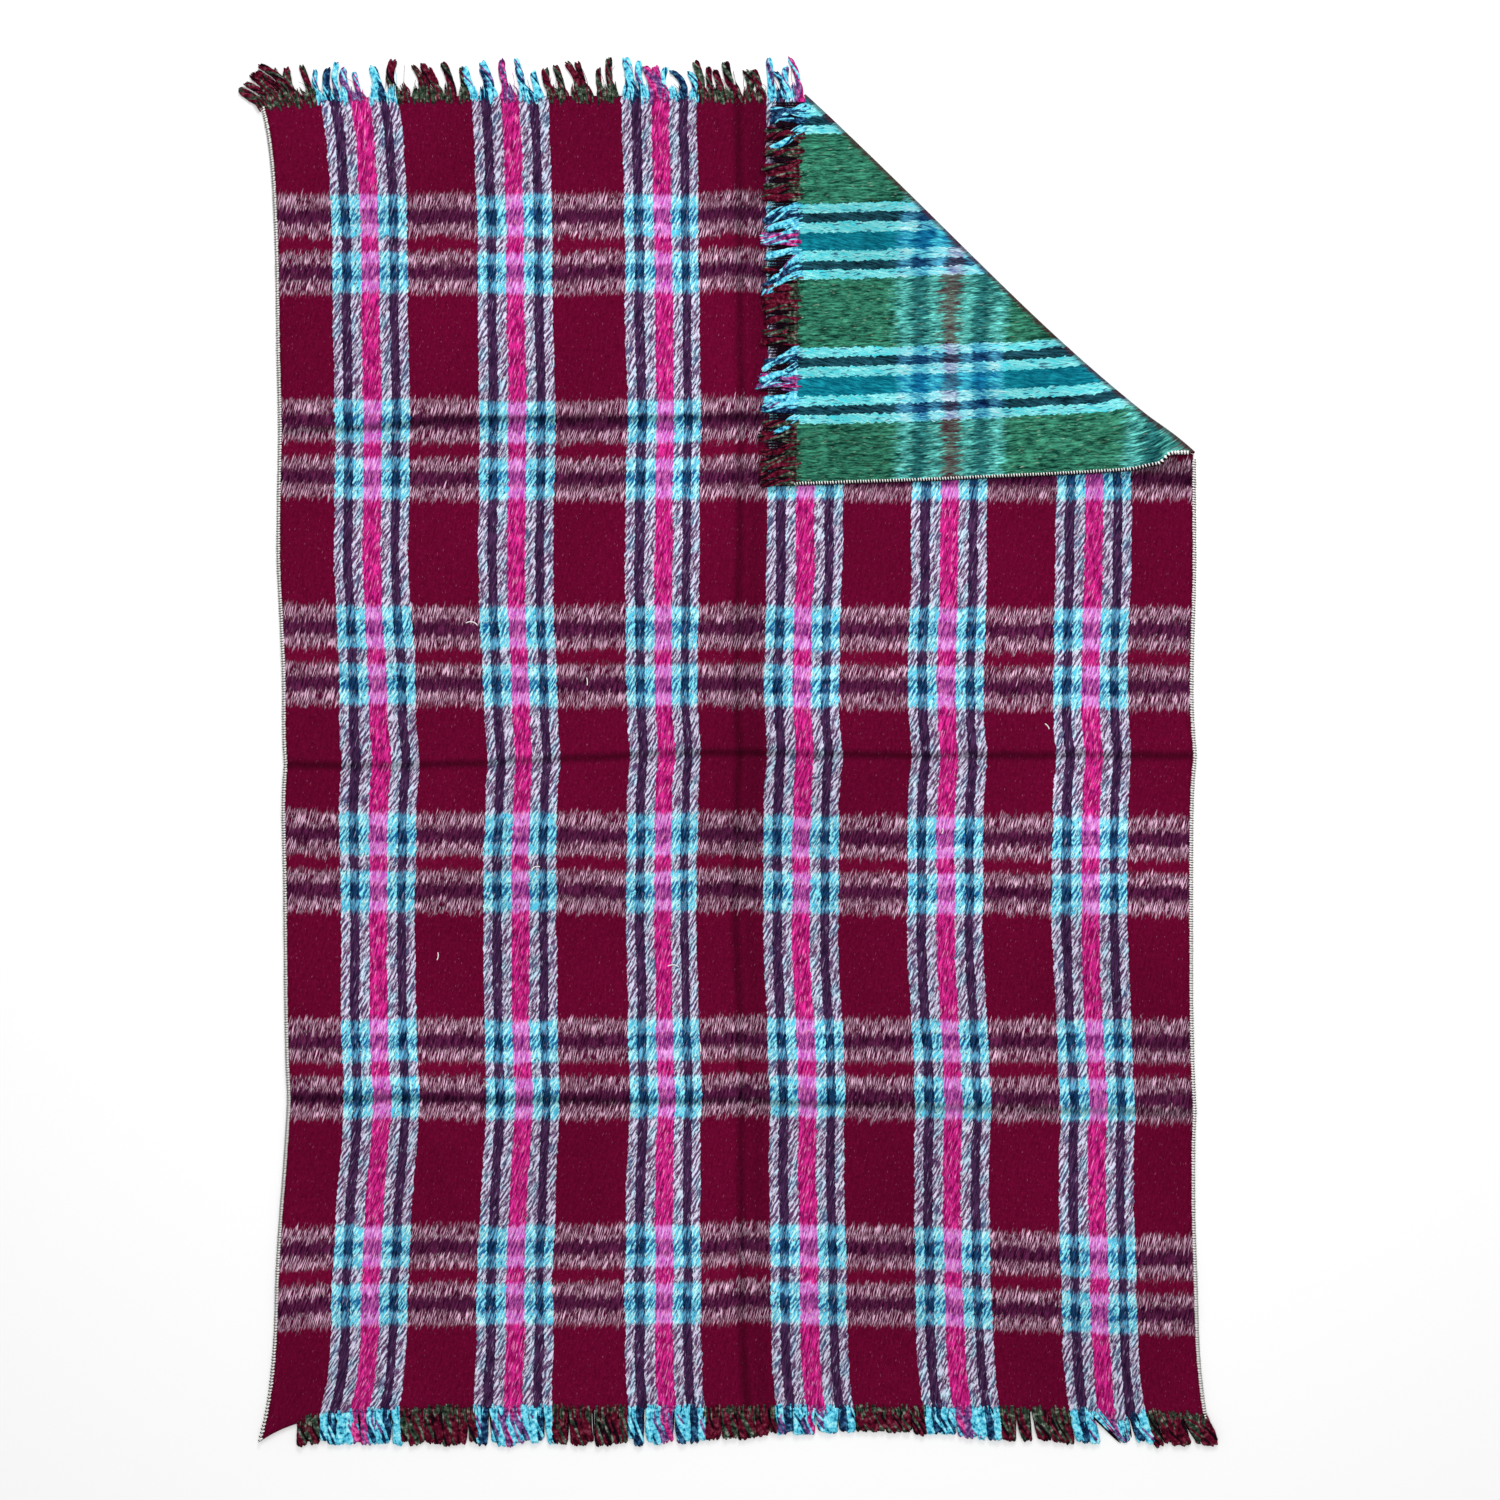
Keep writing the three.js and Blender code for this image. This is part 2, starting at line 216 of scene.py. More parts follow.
def sideways_drift(s, t):
    """How far the laid cloth strays sideways from its flat outline."""
    u, y = s / WIDTH, BOTTOM + t
    left = TOP_LEFT["flare"] * fade(LENGTH - t, TOP_LEFT["reach"])
    left = left + BOTTOM_LEFT["flare"] * fade(t, BOTTOM_LEFT["reach"])
    right = BOTTOM_RIGHT["flare"] * fade(t, BOTTOM_RIGHT["reach"])
    flares = right * u**3 - left * (1 - u) ** 3
    foot = 10 * MM * np.sin(math.pi * u) * fade(t, 0.05)
    kicks = 0.0
    for crease in CREASES:
        away = np.hypot(y - crease_height(crease, s), CREASE_ROUNDING)
        kicks = kicks + crease["kick"] * fade(away, crease["reach"])
    below_middle = smooth(-y, -0.30, -0.05) * smooth(y, -0.78, -0.52)
    belly = 11 * MM * (1 - smooth(u, 0.1, 0.5)) - 5 * MM * smooth(u, 0.35, 0.55)
    second_stripe = 5 * MM * hump(s, 0.53, 0.08)
    right_foot = smooth(u, 0.35, 0.6) * (1 - smooth(u, 0.93, 1)) * smooth(-y, 0.28, 0.42)
    waist = 5 * MM * (1 - smooth(u, 0.0, 0.15)) * hump(y, -0.03, 0.12)
    return flares + foot + kicks + below_middle * belly + second_stripe + 6 * MM * right_foot - waist


def lengthwise_drift(s, t):
    """How far the laid cloth strays up the throw from its flat outline."""
    u, y, from_top = s / WIDTH, BOTTOM + t, LENGTH - t
    top_droop = TOP_LEFT["droop"] * fade(s, TOP_LEFT["reach"]) * fade(from_top, DROOP_REACH)
    foot_droop = BOTTOM_LEFT["droop"] * fade(s, BOTTOM_LEFT["reach"])
    foot_droop = foot_droop + BOTTOM_RIGHT["droop"] * fade(WIDTH - s, BOTTOM_RIGHT["reach"])
    foot_droop = foot_droop * fade(t, DROOP_REACH)
    lower_right = 16 * MM * smooth(u, 0.6, 0.97) * hump(t, 0.22, 0.19)
    pulled_end = 18 * MM * hump(s, 1.186, 0.022) * fade(t, 0.05)
    middle_right = 5 * MM * smooth(u, 0.45, 0.7) * hump(y, -0.05, 0.22)
    inside = smooth(t, 0, 0.1) * smooth(from_top, 0, 0.1)
    at_crease = 6 * MM * (1 - 0.9 * hump(y, 0, 0.35)) * fade(s - CREASE_S, 0.07)
    left_side = 5 * MM * fade(s, 0.12) * hump(y, 0.2, 0.4)
    down = top_droop + foot_droop + lower_right + pulled_end + middle_right
    return inside * (at_crease + left_side) - down


def place_main(s, t):
    """Where points of the cloth that stays down lie: x, y and the mid-surface's z."""
    _, out = fold_coordinates(LEFT + s, BOTTOM + t)
    free = smooth(-out, SEAM_DEPTH + 0.005, 0.16)
    x = LEFT + s + free * sideways_drift(s, t)
    y = BOTTOM + t + free * lengthwise_drift(s, t)
    under_corner = smooth(x, FOLD_START[0] - 0.12, FOLD_START[0] - 0.07) * smooth(y, 0.28, 0.34)
    edge = np.minimum(np.minimum(s, WIDTH - s), np.minimum(t, LENGTH - t))
    ripple = swells(x, y, EDGE_RIPPLES) * fade(np.maximum(edge, 0), 0.03)
    ridge = 1.6 * MM * fade(s - CREASE_S, RIDGE_REACH)
    for crease in CREASES:
        ridge = ridge + 1.4 * MM * fade(BOTTOM + t - crease_height(crease, s), RIDGE_REACH)
    lift = np.minimum(swells(x, y, MAIN_SWELLS) * 0.8 + ripple + ridge, HIGHEST_LIFT)
    return np.column_stack([x, y, HALF + lift * (1 - under_corner) * free])


def lay_corner(along, out, turn, beyond, free):
    """Turns the corner over in the plane: round the bend, then on to where its tip lies."""
    flat_along, flat_out = fold_coordinates(RIGHT, TOP)
    laid_along, laid_out = fold_coordinates(*TURNED_CORNER)
    near_fold = -np.minimum(out + HALF_BEND * free, 0) - BEND_RADIUS * np.sin(turn)
    share = np.clip(along / FOLD_LENGTH, 0, 1)
    bow = FOLD_BOW * np.sin(math.pi * share**1.7) * fade(out, 0.12)
    inward = np.where(out < HALF_BEND, near_fold, 0) - beyond * laid_out / flat_out + bow * free
    along = along + beyond * (laid_along - flat_along) / flat_out
    return from_fold(along, -inward).T


def place_corner(s, t):
    """Where points of the folded corner lie: on the floor, round the bend or on top."""
    along, out = fold_coordinates(LEFT + s, BOTTOM + t)
    turn = np.clip((out + HALF_BEND) / BEND_RADIUS, 0, math.pi)
    beyond = np.maximum(out - HALF_BEND, 0)
    on_top = smooth(beyond, 0, 0.03)
    to_selvage = WIDTH - s
    x, y = lay_corner(along, out, turn, beyond, seam_ease(LEFT + s, BOTTOM + t))
    x = x - CUT_END_SHIFT * smooth(beyond, 0, 0.06)
    y = y - on_top * np.interp(x, *zip(*SELVAGE_SAG)) * fade(to_selvage, 0.10)
    near_end = hump(x, 0.60, 0.06) * fade(to_selvage, 0.05)
    lift = swells(x, y, FLAP_SWELLS) * (1 + 0.6 * fade(to_selvage, 0.03)) + 5 * MM * near_end
    return np.column_stack([x, y, FOLD_AXIS_Z - BEND_RADIUS * np.cos(turn) + on_top * lift])


def turned_pattern(flat):
    """The weave's coordinates on the folded corner, where the stripes sag near the fold."""
    s, t = flat.T
    _, out = fold_coordinates(LEFT + s, BOTTOM + t)
    turned = smooth(out, -SEAM_DEPTH, 0.01) * seam_ease(LEFT + s, BOTTOM + t)
    inner = smooth(LENGTH - t, 0.0, 0.14)
    return np.column_stack([s - turned * (5 + 6 * inner) * MM, t - turned * inner * 9 * MM])


# ---- cloth meshes ----


def mesh_object(name, points, faces, finish, materials):
    """A smooth-shaded object in the scene, with a material number for each face."""
    mesh = bpy.data.meshes.new(name)
    mesh.from_pydata(points.tolist(), [], faces)
    for material in materials:
        mesh.materials.append(material)
    mesh.polygons.foreach_set("material_index", finish)
    mesh.polygons.foreach_set("use_smooth", [True] * len(faces))
    return add_to_scene(name, mesh)


def add_to_scene(name, data):
    """A new object of the scene that shows a mesh, a light or a camera."""
    made = bpy.data.objects.new(name, data)
    bpy.context.scene.collection.objects.link(made)
    return made


def cut_grid(across, along, cuts, keep):
    """Points and faces of a flat grid, cut along lines; only faces that keep() wants."""
    grid = bmesh.new()
    rows = [[grid.verts.new((x, y, 0)) for x in across] for y in along]
    for low, high in zip(rows, rows[1:]):
        for i in range(len(across) - 1):
            grid.faces.new((low[i], low[i + 1], high[i + 1], high[i]))
    for point, normal in cuts:
        parts = grid.verts[:] + grid.edges[:] + grid.faces[:]
        bmesh.ops.bisect_plane(
            grid, geom=parts, dist=1e-6, plane_co=(*point, 0), plane_no=(*normal, 0)
        )
    unwanted = [face for face in grid.faces if not keep(*face.calc_center_median()[:2])]
    bmesh.ops.delete(grid, geom=unwanted, context="FACES")
    grid.verts.index_update()
    points = np.array([vertex.co[:2] for vertex in grid.verts])
    faces = [tuple(vertex.index for vertex in face.verts) for face in grid.faces]
    grid.free()
    return points, faces


def point_normals(points, faces):
    """A unit normal for each point of a surface of flat faces."""
    normals = np.zeros_like(points)
    for face in faces:
        a, b, c = points[face[0]], points[face[1]], points[face[2]]
        normal = np.cross(b - a, c - a)
        for i in face:
            normals[i] += normal
    return normals / np.linalg.norm(normals, axis=1, keepdims=True)


def rim_edges(faces):
    """The directed edges that only one face has."""
    edges = {edge for face in faces for edge in zip(face, face[1:] + face[:1])}
    return [(a, b) for face in faces for a, b in zip(face, face[1:] + face[:1]) if (b, a) not in edges]


def closed_sheet(name, layers, faces, middle, finishes):
    """A cloth of even thickness round its mid-surface, with a face and a reverse.

    layers holds the flat coordinates that its materials read, by the layer's name.
    """
    offset = point_normals(middle, faces) * HALF
    points = np.vstack([middle + offset, middle - offset])
    count = len(middle)
    rim = rim_edges(faces)
    made = list(faces)
    made += [tuple(i + count for i in reversed(face)) for face in faces]
    made += [(b, a, a + count, b + count) for a, b in rim]
    finish = [0] * len(faces) + [1] * len(faces) + [0] * len(rim)
    cloth = mesh_object(name, points, made, finish, finishes)
    corners = np.zeros(len(cloth.data.loops), np.int32)
    cloth.data.loops.foreach_get("vertex_index", corners)
    for label, flat in layers.items():
        values = np.vstack([flat, flat])[corners].astype(np.float32)
        cloth.data.uv_layers.new(name=label).data.foreach_set("uv", values.ravel())
    return cloth


def bend_at_crease(piece):
    """Bakes the placement of a piece that crosses the storage crease into its mesh."""
    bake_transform(piece)


def make_main_cloth(finishes):
    """The cloth that stays down."""
    across = np.linspace(LEFT + SELVAGE_INSET, RIGHT - SELVAGE_INSET, round(WIDTH / GRID))
    along = np.linspace(BOTTOM, TOP, round(LENGTH / GRID))
    points, faces = cut_grid(across, along, SEAM_LINES, stays_down)
    flat = points - [LEFT, BOTTOM]
    layers = {"cloth": flat, "fold": np.column_stack(fold_coordinates(*points.T))}
    cloth = closed_sheet("plaid_cloth", layers, faces, place_main(*flat.T), finishes)
    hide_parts("cloth_upper", "cloth_lower", "crease_strip")
    bend_at_crease(cloth)
    return cloth


def cut_beside_fold(point, normal):
    """A cut given in the flat cloth, turned into along-and-out coordinates."""
    return fold_coordinates(*point), (np.dot(normal, FOLD_DIRECTION), np.dot(normal, FOLD_OUTWARD))


def within_corner(along, out):
    """True inside the turned corner's outline, in along-and-out coordinates."""
    x, y = from_fold(along, out)[0]
    return in_corner(x, y) and x < RIGHT - SELVAGE_INSET and y < TOP


def make_corner_cloth(finishes):
    """The turned corner with the bend it turns on and a strip that stays down."""
    bend_rows = np.arange(-8, 8.1, 0.8) * MM
    rows = np.arange(12, 400, 5) * MM
    rows_left_down = -rows[:7][::-1]
    out = np.concatenate([rows_left_down, bend_rows, rows])
    along = np.arange(-0.02, FOLD_LENGTH + 0.02, 5 * MM)
    edges = [((RIGHT - SELVAGE_INSET, TOP), (1, 0)), ((RIGHT, TOP), (0, 1))]
    cuts = [cut_beside_fold(*line) for line in [*SEAM_LINES, *edges]]
    points, faces = cut_grid(along, out, cuts, within_corner)
    flat = from_fold(*points.T) - [LEFT, BOTTOM]
    layers = {"cloth": turned_pattern(flat), "fold": points}
    cloth = closed_sheet("turned_corner_cloth", layers, faces, place_corner(*flat.T), finishes)
    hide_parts("turned_corner", "fold_roll")
    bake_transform(cloth)
    return cloth


# ---- yarn meshes ----

YARN_FLATNESS = 0.72
TINY = 1e-12


def tube_faces(steps, sides):
    """Faces of one tube whose two end points come after its rings."""
    turns = [(k, (k + 1) % sides) for k in range(sides)]
    last = (steps - 1) * sides
    faces = []
    for ring in range(0, last, sides):
        faces += [(ring + k, ring + sides + k, ring + sides + n, ring + n) for k, n in turns]
    for k, n in turns:
        faces += [(last + sides, k, n), (last + sides + 1, last + n, last + k)]
    return faces


def tubes(centres, radii, sides):
    """Closed tubes along many centre lines at once, flattened a little by their weight."""
    centres, radii = np.asarray(centres, float), np.asarray(radii, float)
    count, steps, _ = centres.shape
    tangents = np.gradient(centres, axis=1)
    tangents /= np.linalg.norm(tangents, axis=2, keepdims=True) + TINY
    reference = np.where(np.abs(tangents[..., 2:3]) > 0.8, [[[0.6, 0.8, 0]]], [[[0, 0, 1.0]]])
    side = np.cross(tangents, reference)
    side /= np.linalg.norm(side, axis=2, keepdims=True) + TINY
    up = np.cross(side, tangents)
    angle = np.arange(sides) * 2 * math.pi / sides
    ring = side[:, :, None] * np.cos(angle)[None, None, :, None]
    ring = ring + YARN_FLATNESS * up[:, :, None] * np.sin(angle)[None, None, :, None]
    points = centres[:, :, None] + ring * radii[:, :, None, None]
    points = points.reshape(count, steps * sides, 3)
    points = np.concatenate([points, centres[:, :1], centres[:, -1:]], axis=1)
    first, stride = tube_faces(steps, sides), points.shape[1]
    faces = [tuple(i + tube * stride for i in face) for tube in range(count) for face in first]
    return points.reshape(-1, 3), faces


def yarn_object(name, groups, sides=6):
    """One object from groups of (centre lines, radii, material)."""
    points, faces, finish, materials = [], [], [], []
    offset = 0
    for centres, radii, material in groups:
        if material not in materials:
            materials.append(material)
        tube_points, found = tubes(centres, radii, sides)
        points.append(tube_points)
        faces += [tuple(i + offset for i in face) for face in found]
        finish += [materials.index(material)] * len(found)
        offset += len(tube_points)
    return mesh_object(name, np.vstack(points), faces, finish, materials)


# ---- materials ----

WOOL_ROUGHNESS = 0.95
WOOL_SHINE = 0.03
PLY_PITCH = 5.6 * MM
BAND_MARGIN = 12 * MM


class Graph:
    """A material's nodes, built by short calls that take numbers or outputs."""

    def __init__(self, name):
        self.material = bpy.data.materials.new(name)
        self.material.use_nodes = True
        self.tree = self.material.node_tree
        self.shader = self.tree.nodes["Principled BSDF"]

    def feed(self, socket, value):
        if isinstance(value, bpy.types.NodeSocket):
            self.tree.links.new(value, socket)
        else:
            socket.default_value = value

    def node(self, kind, inputs, **settings):
        made = self.tree.nodes.new(kind)
        for key, value in settings.items():
            setattr(made, key, value)
        for key, value in inputs.items():
            self.feed(made.inputs[key], value)
        return made

    def math(self, operation, a, b=0, c=0):
        return self.node("ShaderNodeMath", {0: a, 1: b, 2: c}, operation=operation).outputs[0]

    def add(self, a, b):
        return self.math("ADD", a, b)

    def times(self, a, b):
        return self.math("MULTIPLY", a, b)

    def between(self, value, low, high, to_low=0, to_high=1):
        """Runs smoothly from to_low to to_high while the value goes from low to high."""
        inputs = {"Value": value, "From Min": low, "From Max": high}
        inputs.update({"To Min": to_low, "To Max": to_high})
        return self.node("ShaderNodeMapRange", inputs, interpolation_type="SMOOTHSTEP").outputs[0]

    def noise(self, vector, scale, detail, roughness):
        inputs = {"Vector": vector, "Scale": scale, "Detail": detail, "Roughness": roughness}
        return self.node("ShaderNodeTexNoise", inputs).outputs["Fac"]

    def grain(self, s, t, across, along, seed, detail=2, roughness=0.5):
        """Noise over the cloth, with this many cycles per metre across and along it."""
        place = {0: self.times(s, across), 1: self.times(t, along), 2: seed}
        place = self.node("ShaderNodeCombineXYZ", place).outputs[0]
        return self.noise(place, 1, detail, roughness)

    def wander(self, *grain):
        """The same, centred on 0."""
        return self.add(self.grain(*grain), -0.5)

    def ramp(self, position, stops, interpolation="CONSTANT"):
        """The colour at a position from 0 to 1, from stops of a place and a colour."""
        ramp = self.node("ShaderNodeValToRGB", {"Fac": position})
        elements = ramp.color_ramp.elements
        ramp.color_ramp.interpolation = interpolation
        while len(elements) < len(stops):
            elements.new(1)
        for element, (where, colour) in zip(elements, stops):
            element.position = where
            element.color = (*colour, 1)
        return ramp.outputs["Color"]

    def mix(self, share, a, b):
        """Colour a, going over to colour b as the share goes from 0 to 1."""
        made = self.node("ShaderNodeMix", {}, data_type="RGBA")
        for index, value in ((0, share), (6, a), (7, b)):
            self.feed(made.inputs[index], value)
        return made.outputs[2]

    def scaled(self, colour, factor):
        inputs = {0: colour, "Scale": factor}
        return self.node("ShaderNodeVectorMath", inputs, operation="SCALE").outputs[0]

    def parts(self, vector):
        return self.node("ShaderNodeSeparateXYZ", {0: vector}).outputs

    def finish(self, colour, height, depth):
        """Completes a wool material, with the height as bumps of that depth."""
        self.feed(self.shader.inputs["Base Color"], colour)
        self.shader.inputs["Roughness"].default_value = WOOL_ROUGHNESS
        self.shader.inputs["Specular IOR Level"].default_value = WOOL_SHINE
        bump = self.node("ShaderNodeBump", {"Height": height, "Strength": 1, "Distance": depth})
        self.tree.links.new(bump.outputs[0], self.shader.inputs["Normal"])
        return self.material


# Where each yarn sits in one warp group and in one weft band, in metres.
WARP_LAYOUT = (
    (0, "light"), (0.013, "navy"), (0.0266, "light"), (0.041, "pink"),
    (0.067, "light"), (0.082, "navy"), (0.0944, "light"), (0.108, "ground"),
)
WEFT_LAYOUT = (
    (0, "light"), (0.0187, "navy"), (0.0403, "light"), (0.059, "middle"),
    (0.0806, "light"), (0.0993, "navy"), (0.1209, "light"), (0.141, "ground"),
)


def linear(colour):
    """A display colour, 0 to 255, as the linear colour that shaders use."""
    share = [c / 255 for c in colour]
    return tuple(c / 12.92 if c <= 0.04045 else ((c + 0.055) / 1.055) ** 2.4 for c in share)


def tint(colour):
    """A display colour as a shader colour with alpha."""
    return (*linear(colour), 1)


# Colours of the face by weft yarn, then warp yarn: the dark and the bright strands.
FACE = {
    "ground": {
        "ground": ((84, 0, 32), (122, 10, 56)), "light": ((96, 58, 100), (220, 216, 242)),
        "navy": ((34, 16, 48), (86, 50, 92)), "pink": ((132, 0, 74), (250, 54, 166)),
    },
    "light": {
        "ground": ((80, 8, 46), (246, 198, 228)), "light": ((88, 210, 244), (198, 255, 255)),
        "navy": ((4, 32, 80), (106, 188, 228)), "pink": ((200, 62, 188), (255, 184, 255)),
    },
    "navy": {
        "ground": ((40, 2, 30), (106, 38, 82)), "light": ((20, 98, 158), (140, 242, 255)),
        "navy": ((0, 14, 46), (34, 80, 126)), "pink": ((98, 10, 104), (220, 104, 194)),
    },
    "middle": {
        "ground": ((88, 0, 34), (130, 14, 60)), "light": ((92, 58, 100), (216, 214, 240)),
        "navy": ((34, 16, 48), (88, 52, 92)), "pink": ((138, 0, 78), (248, 56, 166)),
    },
}
# The same for the reverse.
REVERSE = {
    "ground": {
        "ground": ((0, 42, 34), (74, 166, 134)), "light": ((60, 216, 230), (166, 255, 255)),
        "navy": ((2, 20, 32), (44, 104, 122)), "pink": ((0, 84, 108), (26, 164, 186)),
    },
    "light": {
        "ground": ((6, 82, 80), (126, 246, 236)), "light": ((84, 224, 246), (204, 255, 255)),
        "navy": ((4, 36, 86), (94, 196, 234)), "pink": ((0, 104, 160), (92, 236, 255)),
    },
    "navy": {
        "ground": ((0, 42, 50), (60, 154, 154)), "light": ((10, 92, 156), (120, 242, 255)),
        "navy": ((0, 18, 58), (36, 96, 146)), "pink": ((0, 56, 108), (28, 150, 198)),
    },
    "middle": {
        "ground": ((72, 16, 40), (114, 146, 134)), "light": ((104, 112, 170), (210, 244, 255)),
        "navy": ((30, 20, 46), (82, 96, 124)), "pink": ((38, 46, 84), (76, 148, 176)),
    },
}
# Each yarn as a pure colour, so that a ramp's red, green and blue tell which it is.
MASKS = {
    "ground": (0, 0, 0), "light": (1, 0, 0), "pink": (0, 1, 0), "navy": (0, 0, 1), "middle": (0, 1, 0),
}


def stops(layout, pitch, colours):
    """Ramp stops for a repeating layout of yarns."""
    return [(start / pitch, colours[yarn]) for start, yarn in layout]


def soft_stops(layout, pitch, colours, blur):
    """Ramp stops for a repeating layout whose yarns fade into one another."""
    made, before = [], layout[-1][1]
    for start, yarn in layout:
        at = start + BAND_MARGIN
        made += [((at - blur) / pitch, colours[before]), ((at + blur) / pitch, colours[yarn])]
        before = yarn
    return made


def woven_colour(graph, colours, warp, texture):
    """The colour along the warp under one weft yarn: dark to bright strands by texture."""
    dark = {yarn: linear(pair[0]) for yarn, pair in colours.items()}
    bright = {yarn: linear(pair[1]) for yarn, pair in colours.items()}
    low = graph.ramp(warp, stops(WARP_LAYOUT, WARP_PITCH, dark))
    high = graph.ramp(warp, stops(WARP_LAYOUT, WARP_PITCH, bright))
    return graph.mix(texture, low, high)


class Weave:
    """Where each warp and weft yarn lies, as masks over the cloth coordinates.

    wobble is how far a warp edge strays and slant how much the fibres lean; ragged and
    striped_ragged are how far weft edges fray, and blur how softly they end.
    """

    def __init__(self, graph, wobble, ragged, striped_ragged, slant, blur):
        g = self.graph = graph
        uv = g.node("ShaderNodeUVMap", {}, uv_map="cloth").outputs[0]
        self.s, self.t, _ = g.parts(uv)
        s, t = self.s, self.t
        sway = g.times(g.wander(s, t, 55, 150, 0, 1), wobble)
        stray = g.add(sway, g.times(g.wander(s, t, 12, 14, 2.5, 1), 6 * MM))
        self.warp = self.repeat(g.add(s, stray), WARP_PITCH, WARP_FIRST)
        yarns = g.ramp(self.warp, stops(WARP_LAYOUT, WARP_PITCH, MASKS))
        self.light, self.pink, self.navy = g.parts(yarns)
        self.striped = g.add(g.add(self.light, self.pink), self.navy)
        self.plain = g.math("SUBTRACT", 1, g.math("MINIMUM", self.striped, 1))

        self.leaning = g.add(s, g.times(t, -slant))
        self.fibres = self.strands(380, 40, 3)
        reach = g.between(self.striped, 0, 1, ragged, striped_ragged)
        frayed = g.times(g.add(self.fibres, -0.5), reach)
        weft = g.add(g.add(t, g.times(g.wander(s, t, 11, 3, 4), 10 * MM)), frayed)
        weft = self.repeat(weft, WEFT_PITCH, WEFT_FIRST - BAND_MARGIN)
        bands = g.ramp(weft, soft_stops(WEFT_LAYOUT, WEFT_PITCH, MASKS, blur), "LINEAR")
        self.over_light, self.over_middle, self.over_navy = g.parts(bands)

    def repeat(self, place, pitch, first):
        """How far a place is through its repeat of the stripes, from 0 to 1."""
        shifted = self.graph.add(place, pitch - first)
        return self.graph.math("DIVIDE", self.graph.math("MODULO", shifted, pitch), pitch)

    def strands(self, across, along, seed, detail=2, roughness=0.6):
        """Noise drawn out along the leaning fibres."""
        return self.graph.grain(self.leaning, self.t, across, along, seed, detail, roughness)

    def flecked(self, colour, where, scales, seed, cover, strength, fleck):
        """Adds short flecks of one colour, drawn out along the fibres, to some yarns."""
        g = self.graph
        flecks = g.between(self.strands(*scales, seed, 1), *cover, 0, strength)
        return g.mix(g.times(flecks, where), colour, tint(fleck))

    def colour(self, colours, texture):
        """The woven colour, with texture choosing between dark and bright strands."""
        g = self.graph
        mixed = woven_colour(g, colours["ground"], self.warp, texture)
        bands = {"light": self.over_light, "navy": self.over_navy, "middle": self.over_middle}
        for weft, share in bands.items():
            mixed = g.mix(share, mixed, woven_colour(g, colours[weft], self.warp, texture))
        return mixed


def crease_shade(w):
    """Painted shade: darkens narrow lines along the storage creases."""
    g, s, t = w.graph, w.s, w.t
    wander = g.times(g.wander(s, t, 9, 9, 5), 8 * MM)
    lines = [(g.add(s, -CREASE_S), 0.46, 0.012), (g.add(s, -CREASE_S - 0.024), 0.26, 0.030)]
    for crease in CREASES:
        left, right = crease["left"] - BOTTOM, crease["right"] - BOTTOM
        line = g.between(s, 0, crease["run"], left, right)
        lines.append((g.math("SUBTRACT", t, line), 0.55, 0.011))
    shade = 1
    for offset, strength, reach in lines:
        away = g.math("ABSOLUTE", g.add(offset, wander))
        shade = g.times(g.between(away, 0, reach, 1 - strength, 1), shade)
    return shade


def fold_end_painted_shade(w):
    """Painted shade beside the diagonal fold's lower end, where the cloth rises into the fold."""
    g, s, t = w.graph, w.s, w.t
    away = g.math("ABSOLUTE", g.add(t, 18 * MM - FOLD_END_T))
    near = g.between(away, 0.012, 0.036, 1, 0)
    patch = g.times(g.between(s, WIDTH - 0.10, WIDTH - 0.07), near)
    return g.math("MULTIPLY_ADD", patch, -0.42, 1)


def roped_strands(w):
    """Slanting plies of the light stripes' yarn, from its hollows (0) to its crests (1)."""
    g, s, t = w.graph, w.s, w.t
    across_plies = g.add(g.times(s, 0.88), g.times(t, -0.47))
    jitter = g.times(g.grain(s, t, 70, 60, 1), 16)
    phase = g.add(g.times(across_plies, 2 * math.pi / PLY_PITCH), jitter)
    strand = g.grain(across_plies, t, 330, 60, 12, 2, 0.6)
    rope = g.add(g.times(g.math("SINE", phase), 0.5), g.between(strand, 0.3, 0.7, -0.7, 1.4))
    return g.between(rope, -0.3, 1.2)


